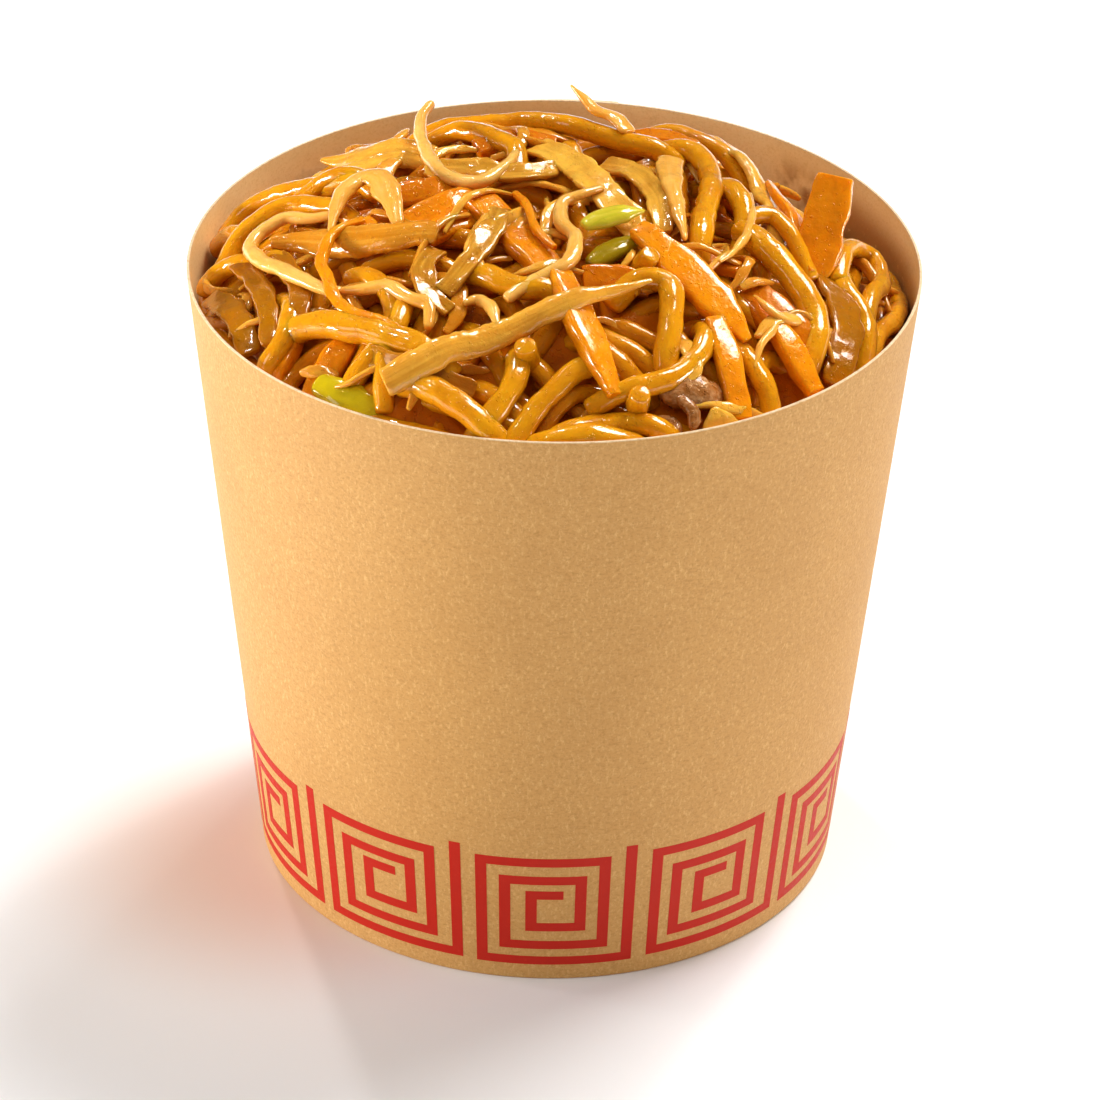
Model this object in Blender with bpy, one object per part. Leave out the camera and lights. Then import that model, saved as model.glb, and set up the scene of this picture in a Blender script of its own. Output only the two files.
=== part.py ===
"""A round kraft-paper noodle tub, heaped with stir-fried noodles and vegetables.

The tub is a tapered paperboard wall with a straight-cut top edge, a folded hem at
the foot and a flat base disc that stands on the hem. The food is a solid core that
fills the tub, with the noodles that show laid over it and fused on, and with the
larger pieces of vegetable lying on the core as solids of their own.
Sizes are in millimetres and are turned into metres as each mesh is made.
The origin is at the middle of the foot, +Z up, and the front of the heap is at -Y.
"""
import math
import random

import bmesh
import bpy
import numpy as np
from mathutils import Vector

MM = 0.001

# The tub
TUB_HEIGHT = 99.4
TOP_RADIUS = 55.0
BASE_RADIUS = 44.8
BOARD = 0.45
HEM_HEIGHT = 7.0
HEM_THICKNESS = 1.3
HEM_EDGE = 0.1
LAP_WIDTH_DEG = 10.0
BASE_DISC = 0.8
BASE_PLAY = 0.1
FIT_GAP = 0.35
SIDES_ROUND = 72

# The heap, as heights over the rim
CROWN = 11.6
EDGE_FRONT = -4.6
EDGE_RIGHT = -14.5
EDGE_BACK = -14.0
EDGE_LEFT = -8.5
DOME_POWER = 2.4
DOME_ROUNDNESS = 0.9
CORE_RINGS = 7

# The noodles
NOODLE = 3.4
SPROUT = 2.4
STRAND_SIDES = 6
STRAND_STEP = 3.2
SINK = 0.3
FILL_TRIES = 900
FILL_STRANDS = 46
SEED = 11


# ---------------------------------------------------------------- materials and meshes

def material(name, colour, roughness):
    """A plain Principled material."""
    made = bpy.data.materials.new(name)
    made.use_nodes = True
    shader = made.node_tree.nodes["Principled BSDF"]
    shader.inputs["Base Color"].default_value = (*colour, 1.0)
    shader.inputs["Roughness"].default_value = roughness
    shader.inputs["Metallic"].default_value = 0.0
    made.diffuse_color = (*colour, 1.0)
    return made


def add_object(name, bm, finish, smooth_deg=35.0):
    """Turn a bmesh in millimetres into a named object in metres."""
    bmesh.ops.scale(bm, vec=(MM, MM, MM), verts=bm.verts)
    bmesh.ops.recalc_face_normals(bm, faces=bm.faces)
    mesh = bpy.data.meshes.new(name)
    bm.to_mesh(mesh)
    bm.free()
    mesh.shade_smooth()
    mesh.set_sharp_from_angle(angle=math.radians(smooth_deg))
    made = bpy.data.objects.new(name, mesh)
    bpy.context.scene.collection.objects.link(made)
    mesh.materials.append(finish)
    return made


def turned(profile, sides=SIDES_ROUND):
    """A closed profile of (radius, height) points turned round the Z axis."""
    bm = bmesh.new()
    verts = [bm.verts.new((radius, 0.0, height)) for radius, height in profile]
    edges = [bm.edges.new((verts[i], verts[(i + 1) % len(verts)])) for i in range(len(verts))]
    bmesh.ops.spin(bm, geom=verts + edges, cent=(0, 0, 0), axis=(0, 0, 1),
                   angle=2 * math.pi, steps=sides, use_merge=True)
    bmesh.ops.remove_doubles(bm, verts=bm.verts, dist=1e-4)
    return bm


def loft(bm, rings):
    """Skin rings of equal point counts into one closed tube with flat ends."""
    skins = [[bm.verts.new(point) for point in ring] for ring in rings]
    count = len(skins[0])
    for low, high in zip(skins, skins[1:]):
        for i in range(count):
            j = (i + 1) % count
            bm.faces.new((low[i], low[j], high[j], high[i]))
    bm.faces.new(skins[0][::-1])
    bm.faces.new(skins[-1])


# ---------------------------------------------------------------- the tub

def wall_radius(height):
    """Outer radius of the tapered wall at a height over the foot."""
    return BASE_RADIUS + (TOP_RADIUS - BASE_RADIUS) * height / TUB_HEIGHT


def room_radius(height):
    """Largest radius that food may reach inside the wall."""
    return wall_radius(height) - BOARD - FIT_GAP


def make_wall(finish):
    """The wall, its hem folded in at the foot, and the glued lap down the back."""
    hem_inner = wall_radius(HEM_HEIGHT) - HEM_THICKNESS
    bm = turned([
        (BASE_RADIUS, 0.0),
        (TOP_RADIUS, TUB_HEIGHT),
        (TOP_RADIUS - BOARD, TUB_HEIGHT),
        (wall_radius(HEM_HEIGHT) - BOARD, HEM_HEIGHT + HEM_EDGE),
        (hem_inner, HEM_HEIGHT),
        (BASE_RADIUS - HEM_THICKNESS, 0.0),
    ])
    for vert in bm.verts:
        bearing = math.degrees(math.atan2(vert.co.x, vert.co.y))
        on_outside = math.hypot(vert.co.x, vert.co.y) > wall_radius(vert.co.z) - 0.5 * BOARD
        if on_outside and 0.0 <= bearing <= LAP_WIDTH_DEG:
            away = Vector((vert.co.x, vert.co.y, 0.0)).normalized()
            vert.co += away * BOARD
    return add_object("tub_wall", bm, finish)


def make_base(finish):
    """The flat disc that stands on the hem and closes the tub."""
    low = HEM_HEIGHT + FIT_GAP
    high = low + BASE_DISC
    bm = turned([
        (0.0, low),
        (room_radius(low) - BASE_PLAY, low),
        (room_radius(high) - BASE_PLAY, high),
        (0.0, high),
    ])
    return add_object("tub_base", bm, finish)


# ---------------------------------------------------------------- the bare core

def edge_height(bearing):
    """Height of the core where it meets the wall; bearing 0 is the front."""
    mean = (EDGE_FRONT + EDGE_RIGHT + EDGE_BACK + EDGE_LEFT) / 4
    front_back = (EDGE_FRONT - EDGE_BACK) / 2
    right_left = (EDGE_RIGHT - EDGE_LEFT) / 2
    saddle = (EDGE_FRONT + EDGE_BACK - EDGE_RIGHT - EDGE_LEFT) / 4
    return (mean + front_back * math.cos(bearing) + right_left * math.sin(bearing)
            + saddle * math.cos(2 * bearing))


def core_height(x, y):
    """Height of the bare core over the foot at a place in plan."""
    reach = min(math.hypot(x, y) / (TOP_RADIUS - BOARD), 1.0)
    edge = edge_height(math.atan2(x, -y))
    swell = (1.0 - reach ** DOME_POWER) ** DOME_ROUNDNESS
    return TUB_HEIGHT + edge + (CROWN - edge) * swell


def make_core():
    """The mass of noodles below those that show: it fills the tub up to a dome."""
    low = HEM_HEIGHT + 2 * FIT_GAP + BASE_DISC
    bm = bmesh.new()
    rings = []
    for ring in range(1, CORE_RINGS + 1):
        share = math.sin(0.5 * math.pi * ring / CORE_RINGS)
        verts = []
        for step in range(SIDES_ROUND):
            angle = 2 * math.pi * step / SIDES_ROUND
            reach = room_radius(TUB_HEIGHT + edge_height(angle)) * share
            x, y = reach * math.sin(angle), -reach * math.cos(angle)
            verts.append(bm.verts.new((x, y, core_height(x, y))))
        rings.append(verts)
    foot = []
    for step in range(SIDES_ROUND):
        angle = 2 * math.pi * step / SIDES_ROUND
        reach = room_radius(low)
        foot.append(bm.verts.new((reach * math.sin(angle), -reach * math.cos(angle), low)))
    rings.append(foot)
    top = bm.verts.new((0.0, 0.0, core_height(0.0, 0.0)))
    bottom = bm.verts.new((0.0, 0.0, low))
    for i in range(SIDES_ROUND):
        j = (i + 1) % SIDES_ROUND
        bm.faces.new((top, rings[0][i], rings[0][j]))
        bm.faces.new((bottom, foot[j], foot[i]))
        for inner, outer in zip(rings, rings[1:]):
            bm.faces.new((inner[i], outer[i], outer[j], inner[j]))
    return bm


# ---------------------------------------------------------------- paths over the heap

def smooth_path(points, step):
    """Even steps along a Catmull-Rom curve through points in plan."""
    ends = [2 * Vector(points[0]) - Vector(points[1]), 2 * Vector(points[-1]) - Vector(points[-2])]
    knots = [ends[0]] + [Vector(point) for point in points] + [ends[1]]
    fine = []
    for a, b, c, d in zip(knots, knots[1:], knots[2:], knots[3:]):
        for i in range(12):
            t = i / 12
            fine.append(0.5 * (2 * b + (c - a) * t + (2 * a - 5 * b + 4 * c - d) * t ** 2
                               + (3 * b - 3 * c + d - a) * t ** 3))
    fine.append(knots[-2])
    runs = [0.0]
    for a, b in zip(fine, fine[1:]):
        runs.append(runs[-1] + (b - a).length)
    count = max(3, round(runs[-1] / step) + 1)
    wanted = np.linspace(0.0, runs[-1], count)
    return np.stack([np.interp(wanted, runs, [p[axis] for p in fine]) for axis in (0, 1)], axis=1)


def frame_at(path, i):
    """Direction of travel, sideways and upwards at one point of a path."""
    ahead = path[min(i + 1, len(path) - 1)] - path[max(i - 1, 0)]
    ahead = Vector(ahead).normalized()
    side = ahead.cross(Vector((0, 0, 1)))
    if side.length < 0.2:
        side = Vector((1, 0, 0))
    side.normalize()
    return ahead, side, side.cross(ahead).normalized()


# ---------------------------------------------------------------- the vegetables

# Name: colour, width, thickness, turn about its length in degrees, and plan points.
# Each piece lies on the bare core along its points, narrowed towards both ends.
CARROT = (0.80, 0.26, 0.03)
PALE = (0.78, 0.55, 0.22)
VEGETABLES = {
    "carrot_baton_front": (CARROT, 4.6, 2.4, 0.0, [(4, -37), (6, -42), (8, -47)]),
    "carrot_slice_right": (CARROT, 5.2, 2.6, -10.0, [(14, -18), (20, -24), (27, -32)]),
    "carrot_baton_right": (CARROT, 3.8, 2.2, 0.0, [(24, -36), (26, -40), (27, -44)]),
    "carrot_slice_rim": (CARROT, 3.8, 2.4, 0.0, [(33, -29), (36, -32), (38, -35)]),
    "carrot_baton_left": (CARROT, 3.8, 2.2, 0.0, [(-31, -34), (-34, -38), (-35, -40)]),
    "carrot_slab_top": (CARROT, 5.6, 2.4, 0.0, [(-11, -9), (-6, -16), (-2, -23)]),
    "onion_strip_front": (PALE, 4.2, 2.0, 8.0,
                          [(-23, -43), (-16, -40), (-9, -35), (0, -33), (8, -30), (13, -27)]),
    "onion_strip_left": (PALE, 4.4, 1.8, 0.0, [(-41, -8), (-32, -13), (-25, -17), (-18, -20)]),
    "cabbage_top": (PALE, 6.0, 2.0, 0.0, [(-2, 6), (4, -3), (10, -11)]),
    "cabbage_back": (PALE, 7.0, 2.2, 0.0, [(24, 22), (30, 13), (32, 2)]),
    "cabbage_rim": (PALE, 4.6, 1.8, 0.0, [(40, -10), (41, -20), (41, -29)]),
    "spring_onion": ((0.45, 0.52, 0.08), 4.2, 2.2, 0.0, [(5, -17), (9, -15), (12, -13)]),
    "green_pepper": ((0.40, 0.45, 0.06), 4.6, 3.0, 0.0, [(-31, -41), (-28, -44), (-25, -46)]),
    "mushroom": ((0.30, 0.17, 0.09), 5.4, 3.6, 0.0, [(17, -43), (20, -44), (23, -42)]),
}
VEGETABLE_ROUGHNESS = 0.35
VEGETABLE_STEP = 3.0
VEGETABLE_RISE = 0.75
VEGETABLE_GAP = 0.45
TIP_WIDTH = 0.55

# The carrot wedge that stands up out of the heap at the right
WEDGE_FOOT = (38.6, -7.0)
WEDGE_TOP = (41.6, 1.4)
WEDGE_TOP_HEIGHT = 14.2
WEDGE_WIDTHS = (3.4, 6.6, 7.0, 5.4)
WEDGE_THICKNESS = 2.6
WEDGE_CLEAR = 1.2


def strip_rings(path, width, thickness, roll_deg):
    """Six-sided flat rings along a path, narrowed towards both ends."""
    shape = [(-0.5, 0.0), (-0.32, 0.5), (0.32, 0.5), (0.5, 0.0), (0.32, -0.5), (-0.32, -0.5)]
    roll = math.radians(roll_deg)
    rings = []
    for i in range(len(path)):
        _, side, up = frame_at(path, i)
        along = i / (len(path) - 1)
        swell = math.sqrt(max(math.sin(math.pi * along), 0.0))
        narrow = TIP_WIDTH + (1.0 - TIP_WIDTH) * swell
        ring = []
        for across, rise in shape:
            u = across * width * narrow
            v = rise * thickness
            offset = side * (u * math.cos(roll) - v * math.sin(roll))
            offset += up * (u * math.sin(roll) + v * math.cos(roll))
            ring.append(Vector(path[i]) + offset)
        rings.append(ring)
    return rings


def highest_core(x, y, reach):
    """Highest point of the core within a reach of a place in plan."""
    heights = [core_height(x, y)]
    for step in range(8):
        angle = step * math.pi / 4
        heights.append(core_height(x + reach * math.cos(angle), y + reach * math.sin(angle)))
    return max(heights)


def lift_clear(rings, gap):
    """Raise a lofted piece until every one of its points is a gap above the core."""
    shortfall = 0.0
    for ring in rings:
        for point in ring:
            shortfall = max(shortfall, core_height(point.x, point.y) + gap - point.z)
    return [[point + Vector((0, 0, shortfall)) for point in ring] for ring in rings]


def make_vegetables(blocked):
    """The strips, batons and slices, each lying on the core."""
    for name, (colour, width, thickness, roll, points) in VEGETABLES.items():
        plan = smooth_path(points, VEGETABLE_STEP)
        path = np.array([(x, y, core_height(x, y) + VEGETABLE_RISE * thickness) for x, y in plan])
        rings = lift_clear(strip_rings(path, width, thickness, roll), VEGETABLE_GAP)
        bm = bmesh.new()
        loft(bm, rings)
        add_object(name, bm, material(name, colour, VEGETABLE_ROUGHNESS), 60.0)
        block(blocked, plan, 0.5 * width)


def make_wedge(blocked):
    """The cut carrot wedge standing at a lean, its foot on the core."""
    foot_height = highest_core(*WEDGE_FOOT, 0.5 * WEDGE_THICKNESS) + WEDGE_CLEAR
    foot = Vector((*WEDGE_FOOT, foot_height))
    top = Vector((*WEDGE_TOP, TUB_HEIGHT + WEDGE_TOP_HEIGHT))
    up = (top - foot).normalized()
    across = Vector((1.0, -0.15, 0.0)).normalized()
    through = across.cross(up).normalized()
    rings = []
    for i, width in enumerate(WEDGE_WIDTHS):
        middle = foot.lerp(top, i / (len(WEDGE_WIDTHS) - 1))
        u, v = across * width / 2, through * WEDGE_THICKNESS / 2
        rings.append([middle - u - v, middle + u - v, middle + u + v, middle - u + v])
    bm = bmesh.new()
    loft(bm, lift_clear(rings, VEGETABLE_GAP))
    add_object("carrot_wedge", bm, material("carrot_wedge", CARROT, VEGETABLE_ROUGHNESS), 60.0)
    block(blocked, smooth_path([WEDGE_FOOT, WEDGE_TOP], 1.0), 0.5 * max(WEDGE_WIDTHS))


# ---------------------------------------------------------------- the noodles

# The strands that show most, in the order they were laid: thickness and plan points
STRANDS = [
    (NOODLE, [(-9, -50), (-6, -48), (-5, -44), (-5, -39)]),
    (NOODLE, [(-4, -50), (-1, -48), (2, -46), (3, -40)]),
    (NOODLE, [(0, -50), (5, -49), (9, -49), (14, -48)]),
    (NOODLE, [(11, -49), (13, -45), (14, -39), (12, -34)]),
    (NOODLE, [(21, -30), (20, -35), (22, -38), (21, -41)]),
    (NOODLE, [(-20, -46), (-15, -47), (-12, -48), (-8, -50)]),
    (NOODLE, [(16, -31), (18, -33), (17, -37), (15, -41)]),
    (NOODLE, [(-38, -29), (-32, -32), (-27, -35), (-19, -38)]),
    (SPROUT, [(-30, -26), (-24, -28), (-20, -30), (-17, -34)]),
    (NOODLE, [(-14, -25), (-9, -27), (-3, -28), (3, -27)]),
    (SPROUT, [(-34, -4), (-40, -2), (-44, -8), (-41, -16), (-34, -22), (-30, -26)]),
    (NOODLE, [(-45, 8), (-38, 3), (-31, -4), (-24, -10)]),
    (NOODLE, [(-49, 12), (-47, 6), (-44, 3), (-40, -1)]),
    (NOODLE, [(-44, 18), (-38, 17), (-33, 10), (-27, 2)]),
    (NOODLE, [(-33, 26), (-27, 17), (-20, 8), (-14, 4)]),
    (SPROUT, [(-19, 20), (-21, 12), (-18, 2), (-13, -3), (-8, 1), (-6, 7)]),
    (NOODLE, [(-19, 23), (-10, 22), (-3, 19), (4, 16), (12, 12), (18, 12)]),
    (NOODLE, [(18, 16), (22, 11), (23, 3), (22, -7), (19, -14)]),
    (NOODLE, [(25, 8), (27, 1), (28, -6), (25, -13)]),
    (NOODLE, [(30, -9), (34, -14), (38, -19), (37, -25), (32, -27)]),
    (NOODLE, [(45, -3), (45, -9), (46, -15), (45, -22)]),
    (NOODLE, [(41, 5), (45, 12), (48, 10), (48, 2), (46, -4)]),
    (NOODLE, [(-48, -6), (-43, -9), (-40, -17), (-40, -24)]),
    (SPROUT, [(5, -8), (0, -10), (2, -17), (3, -24), (-2, -28), (-7, -31)]),
    (NOODLE, [(28, 30), (34, 22), (37, 13), (35, 4)]),
    (NOODLE, [(6, 38), (13, 32), (19, 24), (20, 17)]),
    (NOODLE, [(-22, 38), (-14, 34), (-4, 31), (3, 25)]),
]
SHORTEST_SHOWN = 8
SHORTEST_FILL = 9
HIGHEST_RISE = 5.4
FILL_LENGTH = (24.0, 38.0)
FILL_BOW = 0.25
BARE_SPOT = 1.6
MOAT_REACH = 47.0
MOAT_BEARINGS = (118.0, 215.0)
TUCK_LENGTH = 5.0
TUCK_DEPTH = 3.0
EASE_PASSES = 14
STRAND_FLATNESS = 0.92
WALL_CLEAR = 0.6
GRID_HALF = 56
GRID = np.arange(-GRID_HALF, GRID_HALF + 1, dtype=float)
GRID_X, GRID_Y = np.meshgrid(GRID, GRID, indexing="ij")


def block_moat(blocked):
    """Keep the ground along the back wall bare, where the heap falls away from it."""
    bearing = np.degrees(np.arctan2(GRID_X, -GRID_Y)) % 360
    at_back = (bearing > MOAT_BEARINGS[0]) & (bearing < MOAT_BEARINGS[1])
    blocked |= at_back & (np.hypot(GRID_X, GRID_Y) > MOAT_REACH)


def block(blocked, plan, reach):
    """Mark the ground that a vegetable covers, in plan."""
    for x, y in plan:
        blocked |= np.hypot(GRID_X - x, GRID_Y - y) < reach + 2 * FIT_GAP


def free_run(plan, thickness, blocked):
    """The longest stretch of a path that misses the vegetables and the wall."""
    free = []
    for x, y in plan:
        inside = math.hypot(x, y) < room_radius(core_height(x, y)) - 0.5 * thickness - WALL_CLEAR
        near = np.hypot(GRID_X - x, GRID_Y - y) < 0.5 * thickness + FIT_GAP
        free.append(inside and not blocked[near].any())
    best, start = (0, 0), None
    for i, good in enumerate(free + [False]):
        if good and start is None:
            start = i
        if not good and start is not None:
            best = max(best, (i - start, -start))
            start = None
    return plan[-best[1]:-best[1] + best[0]]


def drape(plan, thickness, ground):
    """Heights of a strand laid on what is under it, its ends tucked into the heap."""
    radius = 0.5 * thickness
    under = []
    for x, y in plan:
        near = np.hypot(GRID_X - x, GRID_Y - y) < radius
        under.append(ground[near].max() if near.any() else core_height(x, y))
    rest = np.array(under) + radius * (1 - SINK)
    height = rest.copy()
    for _ in range(EASE_PASSES):
        padded = np.concatenate([height[:1], height, height[-1:]])
        height = np.maximum(rest, (padded[:-2] + padded[1:-1] + padded[2:]) / 3)
    for i in range(len(plan)):
        to_end = min(i, len(plan) - 1 - i)
        if to_end < TUCK_LENGTH:
            height[i] -= TUCK_DEPTH * (1 - to_end / TUCK_LENGTH) ** 2
    return height


def stamp(plan, height, thickness, ground):
    """Raise the ground by a strand that has been laid."""
    radius = 0.5 * thickness
    for (x, y), z in zip(plan, height):
        away = np.hypot(GRID_X - x, GRID_Y - y)
        near = away < radius
        ground[near] = np.maximum(ground[near], z + np.sqrt(radius ** 2 - away[near] ** 2))


def strand_rings(path, thickness):
    """Slightly flattened rings of a strand."""
    radius = 0.5 * thickness
    rings = []
    for i in range(len(path)):
        _, side, up = frame_at(path, i)
        ring = []
        for step in range(STRAND_SIDES):
            angle = 2 * math.pi * (step + 0.5) / STRAND_SIDES
            ring.append(Vector(path[i]) + side * (radius * math.cos(angle))
                        + up * (STRAND_FLATNESS * radius * math.sin(angle)))
        rings.append(ring)
    return rings


def fill_strands(rng):
    """Further strands, spread evenly over the heap, each a bowed run."""
    golden = math.pi * (3 - math.sqrt(5))
    order = list(range(FILL_TRIES))
    rng.shuffle(order)
    for i in order:
        reach = (TOP_RADIUS - 4.0) * math.sqrt((i + 0.5) / FILL_TRIES)
        x, y = reach * math.sin(i * golden), -reach * math.cos(i * golden)
        heading = rng.uniform(0, math.pi)
        half = 0.5 * rng.uniform(*FILL_LENGTH)
        bow = rng.uniform(-FILL_BOW, FILL_BOW) * 2 * half
        dx, dy = math.cos(heading), math.sin(heading)
        yield [(x - dx * half, y - dy * half), (x - dy * bow, y + dx * bow),
               (x + dx * half, y + dy * half)]


def lay_strand(points, thickness, ground, blocked, shortest):
    """One strand laid on the heap, or None where too little is free or it would ride too high."""
    plan = free_run(smooth_path(points, 1.0), thickness, blocked)
    if len(plan) < shortest:
        return None
    height = drape(plan, thickness, ground)
    bare = np.array([core_height(x, y) for x, y in plan])
    if (height - bare).max() > HIGHEST_RISE:
        return None
    stamp(plan, height, thickness, ground)
    path = np.column_stack([plan, height])
    count = max(4, round(len(path) / STRAND_STEP) + 1)
    picks = np.linspace(0, len(path) - 1, count).round().astype(int)
    bm = bmesh.new()
    loft(bm, strand_rings(path[picks], thickness))
    return bm


def make_heap(finish, blocked):
    """The core with the strands that show fused on."""
    core = add_object("noodle_heap", make_core(), finish)
    bare = np.vectorize(core_height)(GRID_X, GRID_Y)
    ground = bare.copy()
    strands = bpy.data.collections.new("strands")
    bpy.context.scene.collection.children.link(strands)
    rng = random.Random(SEED)
    laid = [lay_strand(points, thickness, ground, blocked, SHORTEST_SHOWN)
            for thickness, points in STRANDS]
    filled = 0
    for points in fill_strands(rng):
        x, y = points[1]
        spot = np.hypot(GRID_X - x, GRID_Y - y) < BARE_SPOT
        if filled == FILL_STRANDS or not spot.any() or (ground - bare)[spot].any():
            continue
        made = lay_strand(points, NOODLE, ground, blocked, SHORTEST_FILL)
        if made is not None:
            laid.append(made)
            filled += 1
    for i, bm in enumerate(strand for strand in laid if strand is not None):
        piece = add_object(f"strand_{i}", bm, finish)
        bpy.context.scene.collection.objects.unlink(piece)
        strands.objects.link(piece)
    fuse(core, strands)
    return core


def fuse(core, strands):
    """Join the strands to the core as one body and drop any loose scrap."""
    union = core.modifiers.new("strands", "BOOLEAN")
    union.operation = "UNION"
    union.operand_type = "COLLECTION"
    union.collection = strands
    union.solver = "MANIFOLD"
    bpy.context.view_layer.objects.active = core
    bpy.ops.object.modifier_apply(modifier=union.name)
    for piece in list(strands.objects):
        bpy.data.objects.remove(piece)
    bpy.data.collections.remove(strands)
    keep_largest(core.data)


def keep_largest(mesh):
    """Keep the largest run of joined faces, which is the outer skin."""
    bm = bmesh.new()
    bm.from_mesh(mesh)
    bmesh.ops.triangulate(bm, faces=bm.faces)
    unseen = set(bm.faces)
    skins = []
    while unseen:
        skin, front = [], [unseen.pop()]
        while front:
            face = front.pop()
            skin.append(face)
            for edge in face.edges:
                joined = edge.link_faces if edge.is_manifold else ()
                for other in joined:
                    if other in unseen:
                        unseen.remove(other)
                        front.append(other)
        skins.append(skin)
    skins.sort(key=len)
    bmesh.ops.delete(bm, geom=[face for skin in skins[:-1] for face in skin], context="FACES")
    bm.to_mesh(mesh)
    bm.free()


# ---------------------------------------------------------------- the whole part

def build():
    """Clear the scene and make every solid of the part."""
    for old in list(bpy.data.objects):
        bpy.data.objects.remove(old)
    kraft = (0.60, 0.38, 0.17)
    make_wall(material("tub_wall", kraft, 0.75))
    make_base(material("tub_base", kraft, 0.8))
    blocked = np.zeros_like(GRID_X, dtype=bool)
    block_moat(blocked)
    make_vegetables(blocked)
    make_wedge(blocked)
    make_heap(material("noodle_heap", (0.72, 0.36, 0.07), 0.35), blocked)


build()
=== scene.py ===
"""The looks of a kraft-paper noodle tub, heaped with stir-fried noodles and vegetables.

Sections follow the tub as it is made and filled: wall, printed border, base, the
mass of noodles, the strands laid over it, the vegetables, and then floor and lights.
Lengths on the tub and its food are millimetres, and places in plan are counted from
the tub's axis, front at -Y.
"""
import math
import random

import bpy
import numpy as np
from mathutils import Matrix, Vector


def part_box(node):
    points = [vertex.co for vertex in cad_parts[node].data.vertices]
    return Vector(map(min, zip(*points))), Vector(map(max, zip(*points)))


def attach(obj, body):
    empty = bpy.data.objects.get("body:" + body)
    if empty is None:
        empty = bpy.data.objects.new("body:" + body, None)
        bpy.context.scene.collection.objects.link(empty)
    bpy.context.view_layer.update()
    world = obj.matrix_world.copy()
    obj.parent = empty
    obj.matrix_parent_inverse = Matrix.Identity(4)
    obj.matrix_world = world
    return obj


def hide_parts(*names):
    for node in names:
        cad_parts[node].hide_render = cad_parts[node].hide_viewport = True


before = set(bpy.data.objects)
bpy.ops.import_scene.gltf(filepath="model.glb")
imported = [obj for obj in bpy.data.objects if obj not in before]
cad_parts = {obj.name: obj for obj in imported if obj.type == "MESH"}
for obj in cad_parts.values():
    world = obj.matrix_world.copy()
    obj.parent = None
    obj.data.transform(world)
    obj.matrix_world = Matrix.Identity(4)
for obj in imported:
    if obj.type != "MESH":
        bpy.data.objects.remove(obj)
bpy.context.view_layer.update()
MM = 0.001
bpy.ops.object.select_all(action="DESELECT")


# ------------------------------------------------------------------ the tub's wall
# One blank of brown kraft board, rolled into a cone and glued down the back, with its
# top edge left straight from the cutter and its foot folded in round the base.
# The inside carries a thin clear coating that keeps grease off the paper, and its paper
# is painted much paler than the outside, as painted light on the shaded inner wall.
WALL_SIDES = 256
BOARD = 0.45
HEM_HEIGHT = 7.0
HEM_THICKNESS = 1.3
LAP_BEARINGS = (-6.0, 10.0)
LAP_STEP = 0.25
BACK_OF_TUB = 30.0
wall_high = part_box("tub_wall")[1]
RIM = wall_high[2] / MM
TOP_RADIUS = wall_high[0] / MM
FOOT_RADIUS = 44.8
KRAFT = (0.58, 0.303, 0.086)
KRAFT_FIBRE = (0.40, 0.185, 0.042)
KRAFT_PALE = (0.80, 0.50, 0.20)
# The inside: the same board painted much paler, as painted light on the shaded inner wall.
KRAFT_INSIDE_PAINTED_LIGHT = (0.93, 0.65, 0.29)
INSIDE_FIBRE_PAINTED_LIGHT = (0.76, 0.47, 0.17)
INSIDE_PALE_PAINTED_LIGHT = (0.95, 0.70, 0.33)
CUT_EDGE = (0.80, 0.60, 0.36)
CUT_EDGE_PALE = (0.88, 0.70, 0.46)
GREASE_STAIN = (0.38, 0.14, 0.025)
GREASE_FLECK = (0.80, 0.46, 0.16)
STAIN_TOP = 1.0
STAIN_FULL = 7.0


def wall_radius(height):
    """Outer radius of the cone at a height over the foot, in millimetres."""
    return FOOT_RADIUS + (TOP_RADIUS - FOOT_RADIUS) * height / RIM


def lap_gain(bearing):
    """Share of the board's thickness by which the lap stands out, bearings from the back."""
    rise = (bearing - LAP_BEARINGS[0]) / (LAP_BEARINGS[1] - LAP_BEARINGS[0])
    return rise * rise * (3 - 2 * rise) if 0 < rise < 1.001 else 0.0


def select_faces(piece, wanted):
    """In edit mode, select just the faces whose centre answers a test."""
    bpy.ops.object.mode_set(mode="OBJECT")
    for part in (piece.data.vertices, piece.data.edges, piece.data.polygons):
        part.foreach_set("select", [False] * len(part))
    for face in piece.data.polygons:
        face.select = bool(wanted(face))
    bpy.ops.object.mode_set(mode="EDIT")
    bpy.ops.mesh.select_mode(type="FACE")


def bend_over_lap(piece):
    """Cut a piece along the lap's free edge, and stand its outside out over the lap."""
    for lap_edge in (LAP_BEARINGS[1], LAP_BEARINGS[1] + LAP_STEP):
        turn = math.radians(lap_edge)
        select_faces(piece, lambda face: face.center.y > BACK_OF_TUB * MM)
        bpy.ops.mesh.bisect(plane_co=(0, 0, 0), plane_no=(math.cos(turn), -math.sin(turn), 0),
                            threshold=0.000001)
    bpy.ops.mesh.select_all(action="SELECT")
    bpy.ops.mesh.normals_make_consistent(inside=False)
    bpy.ops.object.mode_set(mode="OBJECT")
    for vert in piece.data.vertices:
        out = math.hypot(vert.co.x, vert.co.y) / MM
        if out > wall_radius(vert.co.z / MM) - 0.5 * BOARD:
            gain = 1 + BOARD * lap_gain(math.degrees(math.atan2(vert.co.x, vert.co.y))) / out
            vert.co.x *= gain
            vert.co.y *= gain


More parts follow.
